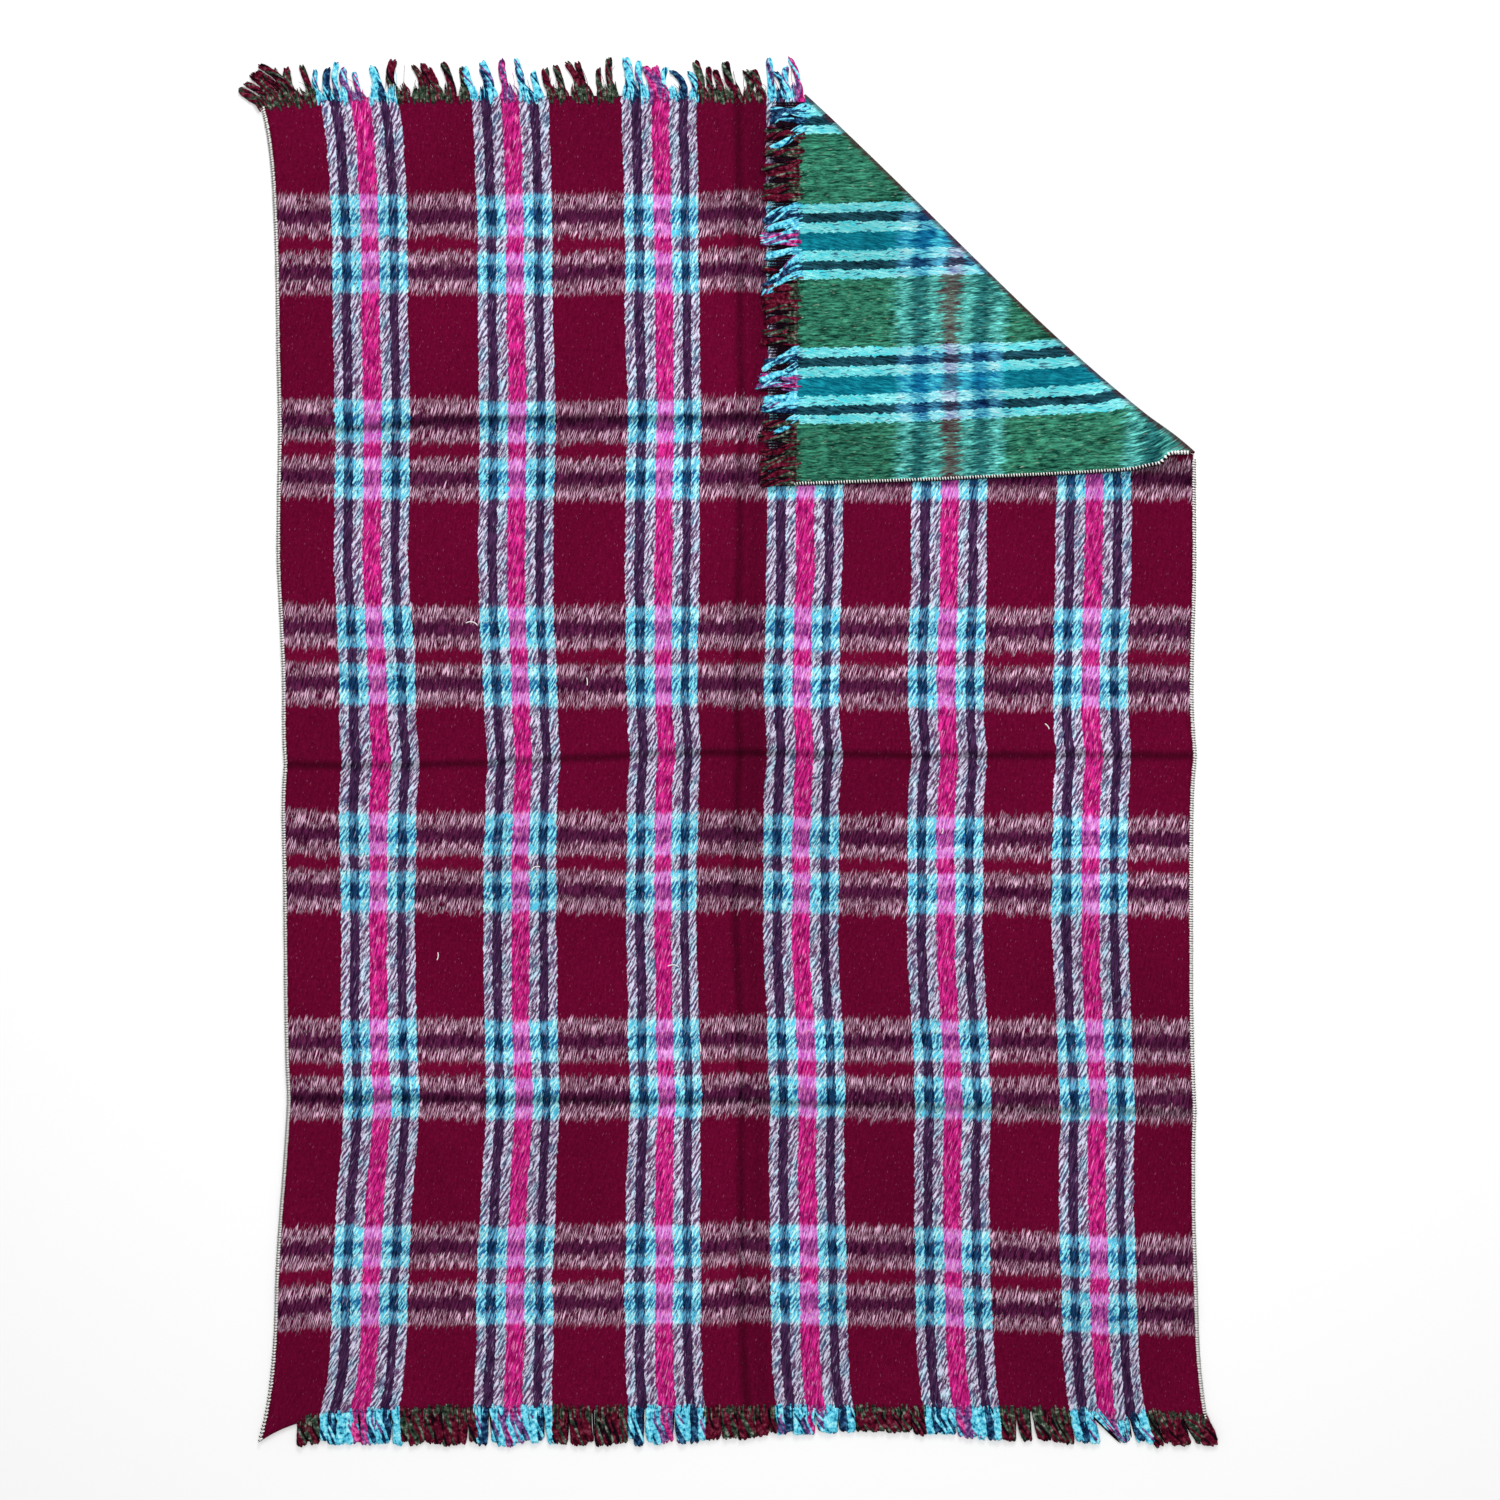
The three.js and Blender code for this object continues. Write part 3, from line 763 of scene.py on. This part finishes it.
def make_face_material():
    """The brushed burgundy face: felted ground, roped light stripes, streaked pink."""
    g = Graph("plaid_face")
    w = Weave(g, wobble=0.0055, ragged=0.042, striped_ragged=0.024, slant=0.27, blur=2.2 * MM)
    s, t = w.s, w.t
    streaks = g.between(w.strands(360, 46, 2, 3, 0.7), 0.36, 0.66)
    bunches = g.between(w.strands(90, 20, 5), 0.3, 0.7, 0.40, 1.05)
    strokes = g.between(w.strands(680, 56, 7, 1.5, 0.5), 0.46, 0.59)
    nap = g.between(g.grain(s, t, 300, 190, 4, 4, 0.75), 0.25, 0.75)
    soft = g.between(w.strands(300, 50, 6), 0.3, 0.7)

    ground = g.add(g.times(nap, 0.7), g.times(soft, 0.3))
    texture = g.mix(w.over_light, ground, g.times(strokes, bunches))
    texture = g.mix(w.over_navy, texture, streaks)
    texture = g.mix(w.light, texture, roped_strands(w))
    texture = g.mix(g.add(w.pink, w.navy), texture, streaks)
    colour = w.colour(FACE, texture)

    # Where painted highlights fall: the light warp, and the light weft at half strength.
    painted_glint_mask = g.math("MAXIMUM", w.light, g.times(w.over_light, 0.5))
    cool = g.times(g.between(w.strands(70, 26, 13), 0.46, 0.66, 0, 0.45), w.light)
    pale_blue = g.mix(texture, tint((40, 110, 150)), tint((170, 246, 255)))
    # Painted shade: dark flecks for the gaps between the light yarn's fibres.
    colour = w.flecked(colour, w.light, (300, 130), 14, (0.60, 0.68), 0.75, (26, 16, 46))
    colour = g.mix(cool, colour, pale_blue)
    # Painted highlight: short white glints on the light yarns.
    colour = w.flecked(colour, painted_glint_mask, (420, 110), 15, (0.63, 0.71), 0.7, (246, 250, 252))
    colour = w.flecked(colour, w.pink, (400, 70), 16, (0.57, 0.66), 0.75, (96, 4, 84))
    colour = w.flecked(colour, w.pink, (440, 60), 17, (0.60, 0.68), 0.75, (255, 150, 206))
    colour = w.flecked(colour, w.navy, (380, 60), 18, (0.64, 0.72), 0.7, (170, 160, 196))
    colour = w.flecked(colour, w.plain, (520, 150), 9, (0.68, 0.78), 0.45, (190, 112, 146))

    broad = g.between(g.grain(s, t, 4, 3, 8), 0.2, 0.8, 0.86, 1.12)
    # Random broad tone, darkened by painted shade along the creases and beside the fold's end.
    tone_and_painted_shade = g.times(g.times(broad, crease_shade(w)), fold_end_painted_shade(w))
    colour = g.scaled(colour, tone_and_painted_shade)
    height = g.add(g.times(texture, 0.8), g.times(w.fibres, 0.6))
    return g.finish(colour, g.add(height, g.times(nap, 0.4)), 1.3 * MM)


def worn_line(g, fine):
    """Where the turned-over fold has worn the nap: 0.75 along the fold, 0 away from it."""
    out = g.parts(g.node("ShaderNodeUVMap", {}, uv_map="fold").outputs[0])[1]
    away = g.math("ABSOLUTE", g.add(out, -2 * MM))
    return g.between(g.add(away, g.times(fine, 6 * MM)), 4 * MM, 10 * MM, 0.75, 0)


def make_reverse_material():
    """The brushed green reverse, with short strokes of fibre along the warp."""
    g = Graph("plaid_reverse")
    w = Weave(g, wobble=0.0085, ragged=0.060, striped_ragged=0.036, slant=0.10, blur=3.5 * MM)
    s, t = w.s, w.t
    bend = g.times(g.wander(s, t, 30, 30, 6), 6 * MM)
    across = g.add(g.add(s, bend), g.times(t, g.times(w.striped, 0.22)))
    fine = g.grain(across, t, 380, 64, 1, 3, 0.7)
    rows = g.grain(across, t, 125, 14, 2)
    texture = g.between(g.add(g.times(fine, 0.72), g.times(rows, 0.28)), 0.36, 0.66)
    colour = w.colour(REVERSE, texture)
    # Painted shade: dark blue flecks for the gaps between the light yarn's fibres.
    colour = w.flecked(colour, w.light, (400, 64), 14, (0.60, 0.66), 0.8, (4, 50, 112))
    # Painted highlight: white-cyan glints on the light yarns.
    colour = w.flecked(colour, w.light, (430, 80), 15, (0.66, 0.74), 0.6, (220, 255, 255))
    colour = w.flecked(colour, w.plain, (330, 45), 11, (0.66, 0.76), 0.3, (112, 96, 66))
    # Painted highlight: sparse pale glints on the green ground.
    colour = w.flecked(colour, w.plain, (470, 90), 12, (0.66, 0.74), 0.5, (196, 220, 190))
    broad = g.between(g.grain(s, t, 9, 7, 8), 0.2, 0.8, 0.78, 1.15)
    colour = g.scaled(colour, broad)
    colour = g.mix(worn_line(g, fine), colour, tint((74, 34, 40)))
    return g.finish(colour, g.add(texture, g.times(fine, 0.5)), 1.6 * MM)


# Yarns' and threads' shades, from the dark hollows to the lit fibres.
YARN_SHADES = {
    "yarn_burgundy": ((22, 4, 12), (74, 8, 28), (96, 14, 40), (120, 56, 70)),
    "yarn_green": ((14, 20, 18), (40, 54, 44), (62, 80, 64), (132, 140, 126)),
    "yarn_light": ((16, 84, 126), (76, 186, 216), (118, 220, 240), (178, 244, 252)),
    "yarn_navy": ((8, 18, 42), (20, 46, 84), (64, 120, 158)),
    "yarn_pink": ((104, 6, 68), (186, 34, 120), (236, 104, 178)),
    "yarn_violet": ((54, 28, 78), (104, 62, 124), (172, 132, 184)),
    "yarn_shade": ((10, 4, 10), (34, 12, 24)),
    "thread_cream": ((240, 238, 232), (255, 255, 252)),
    "thread_black": ((14, 10, 14), (44, 38, 44)),
}
YARN_GRAIN = 170


def make_yarn_material(name, shades):
    """Spun wool that runs through a few shades."""
    g = Graph(name)
    place = g.node("ShaderNodeTexCoord", {}).outputs["Object"]
    grain = g.noise(place, YARN_GRAIN, 2, 0.6)
    places = np.linspace(0.33, 0.67, len(shades))
    colour = g.ramp(grain, [(float(x), linear(c)) for x, c in zip(places, shades)], "LINEAR")
    return g.finish(colour, grain, 0.6 * MM)


YARNS = {name.split("_")[1]: make_yarn_material(name, shades) for name, shades in YARN_SHADES.items()}


# ---- fringe ----


def colour_zones():
    """Plain and striped stretches across the cloth: kind, number, from, to."""
    zones, start = [], 0.0
    for i in range(WARP_COUNT):
        stripe = WARP_FIRST + i * WARP_PITCH
        zones.append(("plain", i + 1, start, stripe))
        zones.append(("stripe", i + 1, stripe, stripe + WARP_WIDTH))
        start = stripe + WARP_WIDTH
    zones.append(("plain", WARP_COUNT + 1, start, WIDTH))
    return zones


def yarn_kind(s):
    """The warp yarn at s: ground, light, navy or pink."""
    if s < WARP_FIRST:
        return "ground"
    offset = (s - WARP_FIRST) % WARP_PITCH
    return [yarn for start, yarn in WARP_LAYOUT if start <= offset][-1]


# Yarns that make up a tassel of each kind, and the loose ones round its root. The shade
# yarn among the plies is near-black, painted shade between them.
PLIES = {
    "ground": ("burgundy", "burgundy", "green", "burgundy", "shade", "green", "burgundy"),
    "light": ("light", "light", "navy", "light", "light", "violet", "light"),
    "navy": ("navy", "navy", "light", "navy", "navy", "navy"),
    "pink": ("pink", "violet", "pink", "violet", "violet", "light"),
}
ROOTS = {
    "ground": ("green", "green", "green", "burgundy"), "light": ("light",) * 4,
    "navy": ("navy", "navy", "light", "navy"), "pink": ("pink", "violet", "pink", "violet"),
}

# Each strand is drawn in steps, at these shares of its length. Tips end at these shares of
# a tassel's reach, and the fans place the dark strands of painted shade across a tassel's width.
STEPS = 16
SHARE = np.linspace(0, 1, STEPS)
HALF_WAVE = np.sin(math.pi * SHARE)
TASSEL_STRANDS = 8
FIRST_TIP, LAST_TIP = 0.90, 1.0
UNDERLAY_FANS = (-0.5, -0.17, 0.17, 0.5)
FRINGE_REACH = 1.0035
FOOT_TIPS_Y = -0.9995
ON_FLOOR, ON_FLAP = 0.3 * MM, 4.2 * MM
STRIPE_SEED = 50


def blunt_end(power):
    """Girth along a strand whose last stretch rounds off."""
    return np.sqrt(np.clip(1.02 - SHARE**power, 0.05, 1))


class Tassels:
    """Collects the strands of one stretch of fringe."""

    def __init__(self, seed):
        self.rng = np.random.default_rng(seed)
        self.strands = {}

    def add(self, yarn, line, high, radius):
        lines, radii = self.strands.setdefault(yarn, ([], []))
        lines.append(np.column_stack([line, high]))
        radii.append(radius)

    def tassel(self, edge, back, tip, kind, spread, width, turns, floor, sway, arch=0.0):
        """Strands that gather from the cut end, wind round each other and end bluntly."""
        rng = self.rng
        root, tip = np.array(edge[:2]) + back, np.array(tip[:2])
        run, side = run_and_side(root, tip)
        drop = smooth(SHARE, 0.02, 0.30)
        gather = smooth(SHARE, 0.05, 0.50)
        bend = (rng.normal(0, sway) + arch) * np.linalg.norm(run) * HALF_WAVE
        blunt = np.sqrt(np.clip(1 - ((SHARE - 0.92) / 0.085) ** 2 * (SHARE > 0.92), 0.02, 1))
        phase = rng.uniform(0, 2 * math.pi)
        for i in range(TASSEL_STRANDS):
            angle = phase + (i / TASSEL_STRANDS + turns * SHARE) * 2 * math.pi
            fan = spread * ((i + 0.5) / TASSEL_STRANDS - 0.5)
            out = fan * (1 - gather) + width * 0.30 * np.sin(angle) * gather + bend
            reach = rng.uniform(FIRST_TIP, LAST_TIP)
            line = root + np.outer(SHARE * reach, run) + np.outer(out, side)
            laid = floor + width * (0.26 + 0.13 * np.cos(angle))
            high = (edge[2] + THICKNESS * 0.42) * (1 - drop) + laid * drop
            girth = width * rng.uniform(0.16, 0.20) * blunt * (0.55 + 0.45 * drop)
            self.add(PLIES[kind][rng.integers(len(PLIES[kind]))], line, high, girth)

    def roots(self, edge, back, tip, kind, spread, count, reach):
        """Short loose strands that lie over the cut end."""
        rng, base = self.rng, np.array(edge[:2])
        run, side = run_and_side(base, tip[:2])
        for _ in range(count):
            offset = spread * rng.uniform(-0.5, 0.5)
            start = base + side * offset + np.array(back) * rng.uniform(0.2, 1.5)
            end = base + run * rng.uniform(0.7, 1.2) * reach + side * offset * 0.7
            line = start + np.outer(SHARE, end - start)
            line = line + np.outer(rng.normal(0, 1.4 * MM) * HALF_WAVE, side)
            high = edge[2] + HALF + 1.2 * MM * HALF_WAVE
            girth = rng.uniform(0.9, 1.5) * MM * blunt_end(3)
            self.add(ROOTS[kind][rng.integers(len(ROOTS[kind]))], line, high, girth)

    def hair(self, edge, tip, yarn, floor):
        """One loose fibre that strays from a tassel."""
        rng, base = self.rng, np.array(edge[:2])
        run = tip[:2] - base
        side = np.array([-run[1], run[0]])
        reach, (lean, curl) = rng.uniform(0.5, 0.85), rng.normal(0, 0.25, 2)
        stray = 0.6 * lean * SHARE**1.5 + 0.36 * curl * np.sin(3 * SHARE)
        line = base + np.outer(SHARE * reach, run) + np.outer(stray, side)
        high = floor + 1.2 * MM + rng.uniform(1, 4) * MM * HALF_WAVE
        self.add(yarn, line, high, np.full(STEPS, rng.uniform(0.2, 0.35) * MM))

    def shade_underlay(self, edge, tip, spread, floor):
        """Near-black strands inside the tassels: painted shade that fills the hollows between them."""
        base = np.array(edge[:2])
        run, side = run_and_side(base, tip[:2])
        high = np.full(STEPS, floor + 2.0 * MM)
        for fan in UNDERLAY_FANS:
            line = base + np.outer(SHARE * self.rng.uniform(0.75, 0.92), run)
            self.add("shade", line + side * spread * fan, high, 1.4 * MM * blunt_end(4))

    def piece(self, name, body, node, kind):
        """One object of all the strands, attached to its body; it hides the node it stands for."""
        listed = [(lines, radii, YARNS[yarn]) for yarn, (lines, radii) in self.strands.items()]
        made = yarn_object(name, listed)
        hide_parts(node)
        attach(made, body)
        return made


def run_and_side(start, end):
    """The vector from start to end, and a unit vector to its left."""
    run = np.array(end) - start
    return run, np.array([-run[1], run[0]]) / np.linalg.norm(run)


def tassel_places(low, high, pitch, rng):
    """Slightly uneven places across the cloth for the tassels of one stretch."""
    count = max(1, round((high - low) / pitch))
    step = (high - low) / count
    return low + step * (np.arange(count) + 0.5) + rng.normal(0, step * 0.10, count), step


def make_fringe(run, body, tie, low, high, seed, plain_pitch, stripe_pitch):
    """A row of fringe from low to high: one piece for each plain or striped stretch."""
    pieces, pitches = [], {"plain": plain_pitch, "stripe": stripe_pitch}
    for kind, number, start, end in colour_zones():
        start, end = max(start, low), min(end, high)
        if end <= start:
            continue
        row = Tassels(seed + number + (STRIPE_SEED if kind == "stripe" else 0))
        places, step = tassel_places(start, end, pitches[kind], row.rng)
        for s in places:
            tie(row, s, step, yarn_kind(s))
        name = f"{run}_{kind}_{number}"
        pieces.append(row.piece(f"tassels_{name}", body, f"fringe_{name}", kind))
    return pieces


def tie_top(row, s, step, yarn):
    """A blunt twisted tassel that leans to the left."""
    edge = place_main(s, LENGTH)[0]
    length = row.rng.uniform(0.036, 0.058)
    tip = edge[:2] + [-row.rng.uniform(0.05, 0.50) * length, length]
    tip[1] = min(tip[1], FRINGE_REACH)
    width = row.rng.uniform(8, 13) * MM
    row.tassel(edge, (0, -3 * MM), tip, yarn, step, width, turns=0.9, floor=ON_FLOOR, sway=0.10)
    row.roots(edge, (0, -8 * MM), tip, yarn, step, 12 if yarn == "ground" else 5, reach=0.32)
    row.hair(edge, tip, PLIES[yarn][0], 0)


# A few yarns pulled aside near the drooping corner, from where to where and to which tip.
PULLED = {"from": 1.150, "to": 1.200, "tip": (0.583, -0.997)}


def tie_bottom(row, s, step, yarn):
    """A short thick tassel of the lower end."""
    edge = place_main(s, 0.0)[0]
    shorter = 19 * MM * hump(s / WIDTH, 0.63, 0.15)
    tip_y = FOOT_TIPS_Y + shorter + row.rng.normal(0, 2.5 * MM)
    lean = row.rng.normal(0.03 + 0.40 * (s / WIDTH) ** 6, 0.05) * 0.05
    tip = np.array([edge[0] + lean, max(tip_y, -FRINGE_REACH)])
    width = row.rng.uniform(14, 16.5) * MM
    if PULLED["from"] < s < PULLED["to"]:
        tip = np.array(PULLED["tip"]) + row.rng.normal(0, 1.5 * MM, 2)
        width = 6 * MM
    row.tassel(edge, (0, 2 * MM), tip, yarn, step, width, turns=0.6, floor=ON_FLOOR, sway=0.03)
    row.roots(edge, (0, 6 * MM), tip, yarn, step, count=6, reach=0.55)
    row.shade_underlay(edge, tip, step, 0)


def tie_turned(row, s, step, yarn):
    """A tassel of the turned corner, which points left over the cloth below."""
    edge = place_corner(s, LENGTH)[0]
    length = row.rng.uniform(0.046, 0.054) + (5 * MM if yarn == "pink" else 0)
    droop = (0.0, 0.12) if yarn in ("ground", "pink") else (-0.35, 0.30)
    tip = edge[:2] + [-length, row.rng.normal(*droop) * length]
    floor = max(edge[2] - HALF, ON_FLAP)
    width = row.rng.uniform(9, 12) * MM
    row.tassel(edge, (3 * MM, 0), tip, yarn, step, width, turns=0.8, floor=floor, sway=0.05)
    row.roots(edge, (7 * MM, 0), tip, yarn, step, count=4, reach=0.35)
    row.shade_underlay(edge, edge[:2] + [-length, 0], step, floor - 0.5 * MM)


def make_top_clump():
    """The tassels of the upper left corner, swept sideways past the selvage."""
    row = Tassels(81)
    for i in range(9):
        edge = place_main(0.001 + 0.0052 * i, LENGTH)[0]
        tip = np.array([-0.6975 + 0.0042 * i, TOP + 0.009 + 0.0052 * i]) + row.rng.normal(0, 2 * MM, 2)
        width, floor = row.rng.uniform(8, 11) * MM, (0.3 + 0.5 * (i % 3)) * MM
        row.tassel(edge, (0, -3 * MM), tip, "ground", 8 * MM, width, 1.2, floor, 0.04, -0.012 * i)
        row.roots(edge, (0, -7 * MM), tip, "ground", 8 * MM, count=5, reach=0.3)
        row.hair(edge, tip, "green", 1 * MM)
    return row.piece("clump_top_left", "root", "corner_tassel_top", "plain")


def make_foot_clump():
    """The last tassels of the lower end, swept to the right."""
    row = Tassels(82)
    for i in range(2):
        edge = place_main(WIDTH - 0.006 + 0.004 * i, 0.0)[0]
        tip = np.array([0.682 + 0.002 * i, BOTTOM - 0.044 + 0.008 * i])
        row.tassel(edge, (0, 3 * MM), tip, "ground", 8 * MM, 11 * MM, 1.0, ON_FLOOR, sway=0.05)
        row.roots(edge, (0, 4 * MM), tip, "ground", 8 * MM, count=5, reach=0.5)
    return row.piece("clump_bottom_right", "lower_quarter", "corner_tassel_bottom", "plain")


# Where bits of lint lie on the face: x, y, heading in degrees, length and curl.
LINT = (
    (-0.352, 0.179, 120, 0.020, 1.6), (-0.411, -0.302, 60, 0.012, 0.8),
    (-0.062, -0.312, 140, 0.018, 1.2), (-0.032, -0.434, 80, 0.014, 0.5),
    (-0.262, -0.168, 150, 0.016, 1.8), (-0.195, 0.093, 75, 0.012, 0.6),
    (0.315, -0.120, 40, 0.009, 1.4), (0.470, 0.030, 100, 0.011, 0.9),
)
LINT_RADIUS = 0.7 * MM


def make_lint():
    """A few pale curled fibres caught on the nap."""
    lines = []
    for x, y, heading, length, curl in LINT:
        angle = math.radians(heading) + curl * SHARE
        step = np.column_stack([np.cos(angle), np.sin(angle)]) * length / STEPS
        line = np.array([x, y]) + np.cumsum(step, axis=0)
        surface = place_main(line[:, 0] - LEFT, line[:, 1] - BOTTOM)[:, 2] + HALF
        lines.append(np.column_stack([line, surface + 0.4 * MM]))
    radii = np.full((len(lines), STEPS), LINT_RADIUS)
    lint = yarn_object("lint", [(lines, radii, YARNS["cream"])])
    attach(lint, "root")
    return lint


# ---- binding ----

# The overlock stitches' paths round an edge, in millimetres into the cloth and in half
# thicknesses above its middle.
CREAM_PATH = ((0.6, -0.4), (-0.5, 0.0), (-0.3, 1.2), (0.8, 1.6), (1.9, 1.5), (3.0, 1.0))
BLACK_PATH = ((1.4, 1.2), (-0.2, 1.1), (-1.7, 0.5), (-2.5, -0.1), (-1.4, -0.5))
STITCH = 3.6 * MM
CREAM_RADIUS, BLACK_RADIUS, SHADOW_THREAD_RADIUS = 1.15 * MM, 0.6 * MM, 1.1 * MM


def edge_frames(points, inward_sign):
    """Unit vectors along an edge and into the cloth, for each of its points."""
    tangent = np.gradient(points, axis=0)
    tangent /= np.linalg.norm(tangent, axis=1, keepdims=True)
    inward = np.column_stack([-tangent[:, 1], tangent[:, 0], np.zeros(len(points))])
    return tangent, inward * inward_sign


def stitches(frames, path, ahead, slant, reach):
    """One centre line for each stitch along an edge."""
    lines = []
    for point, forward, into, lean, size in zip(*frames, slant, reach):
        line = []
        for i, (depth, height) in enumerate(path):
            place = point + into * depth * MM * size + forward * (ahead + lean * i)
            line.append(place + [0, 0, height * HALF])
        lines.append(line)
    return np.array(lines)


def make_binding(name, place, s, low, high, inward_sign, seed, rolled=None):
    """Overlock stitches round a selvage: cream loops, and black ones that stick out between.

    rolled gives the stretch of x over which the edge starts to roll up, so that its
    stitches stand thicker; such an edge also gets a black thread under its rim: painted shadow.
    """
    rng = np.random.default_rng(seed)
    along = np.arange(low, high, STITCH)
    points = place(np.full(len(along), s), along)
    tangent, inward = edge_frames(points, inward_sign)
    frames, count = (points, tangent, inward), len(points)
    slant, reach = rng.uniform(0.05, 0.25, count) * MM, rng.uniform(0.85, 1.15, count)
    cream = stitches(frames, CREAM_PATH, 0, slant, reach)
    black = stitches(frames, BLACK_PATH, STITCH / 2, slant, reach)
    fat = np.full(cream.shape[:2], CREAM_RADIUS) * rng.uniform(0.85, 1.1, (count, 1))
    thin = np.full(black.shape[:2], BLACK_RADIUS)
    threads = []
    if rolled:
        swell = smooth(points[:, 0], *rolled)[:, None]
        fat, thin = fat * (0.8 + 0.9 * swell), thin * (1 + 0.3 * swell)
        cream = cream + np.array([0, 0, 1.2 * MM]) * swell[:, :, None]
        # A black thread just under the rolled rim stands in for its contact shadow: painted shadow.
        rim = points - inward * 0.9 * MM + np.array([0, 0, -0.9 * HALF])
        threads = [(rim[None], np.full((1, count), SHADOW_THREAD_RADIUS), YARNS["black"])]
    groups = [(cream, fat, YARNS["cream"]), (black, thin, YARNS["black"]), *threads]
    binding = yarn_object(name, groups, sides=5)
    return binding


def make_bindings():
    """The overlocked selvages: left, right and the turned corner's."""
    left = make_binding("binding_left", place_main, 0.0, 0.0, LENGTH, -1, 71)
    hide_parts("binding_left_upper", "binding_left_lower")
    bend_at_crease(left)
    high, low, rolled = FOLD_END_T - 8 * MM, FOLD_END_T + 12 * MM, (0.615, 0.635)
    right = make_binding("binding_right", place_main, WIDTH, 0.0, high, 1, 72)
    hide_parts("binding_right_upper", "binding_right_lower")
    bend_at_crease(right)
    turned = make_binding("binding_turned_edge", place_corner, WIDTH, low, LENGTH, -1, 73, rolled)
    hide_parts("binding_turned")
    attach(turned, "corner")
    return left, right, turned


# ---- the stage ----

FLOOR_HALF = 8.0
CAMERA_PLACE = (0.0396, 0.0007, 3.002)


def area_light(name, place, size, watts):
    """A soft square light that points at the middle of the throw."""
    data = bpy.data.lights.new(name, "AREA")
    data.size, data.energy = size, watts
    light = add_to_scene(name, data)
    light.location = place
    light.rotation_euler = (-Vector(place)).to_track_quat("-Z", "Y").to_euler()


def make_floor():
    """A pale matt floor."""
    paint = Graph("floor_paint")
    paint.shader.inputs["Base Color"].default_value = (0.97, 0.97, 0.97, 1)
    paint.shader.inputs["Roughness"].default_value = 1.0
    corners = np.array([(-1, -1, 0), (1, -1, 0), (1, 1, 0), (-1, 1, 0)]) * FLOOR_HALF
    floor = mesh_object("floor", corners, [(0, 1, 2, 3)], [0], [paint.material])


def make_stage():
    """The floor, soft light and the camera straight above."""
    make_floor()
    world = bpy.data.worlds.new("studio")
    world.use_nodes = True
    background = world.node_tree.nodes["Background"]
    background.inputs["Color"].default_value = (1, 1, 1, 1)
    background.inputs["Strength"].default_value = 0.55
    area_light("overhead", (0.1, 0.0, 3.6), size=3.0, watts=57)
    area_light("key", (0.5, 3.0, 2.6), size=1.2, watts=60)
    data = bpy.data.cameras.new("camera")
    data.lens, data.sensor_width = 50, 36
    camera = add_to_scene("camera", data)
    camera.location = CAMERA_PLACE
    scene = bpy.context.scene
    scene.world, scene.camera = world, camera
    scene.view_settings.view_transform = "Standard"


# ---- the throw ----

make_stage()
finishes = [make_face_material(), make_reverse_material()]
main_cloth = make_main_cloth(finishes)
corner_cloth = make_corner_cloth(finishes)
binding_left, binding_right, binding_turned = make_bindings()
top_fringe = make_fringe(
    "top", "root", tie_top, low=0.012, high=FOLD_START_S + 2 * MM,
    seed=100, plain_pitch=16 * MM, stripe_pitch=13.5 * MM,
)
bottom_fringe = make_fringe(
    "bottom", "lower_quarter", tie_bottom, low=0.050, high=WIDTH,
    seed=300, plain_pitch=11 * MM, stripe_pitch=11 * MM,
)
turned_fringe = make_fringe(
    "turned", "corner", tie_turned, low=FOLD_START_S + 0.015, high=WIDTH,
    seed=500, plain_pitch=10.5 * MM, stripe_pitch=10.5 * MM,
)
top_clump, foot_clump = make_top_clump(), make_foot_clump()
lint = make_lint()
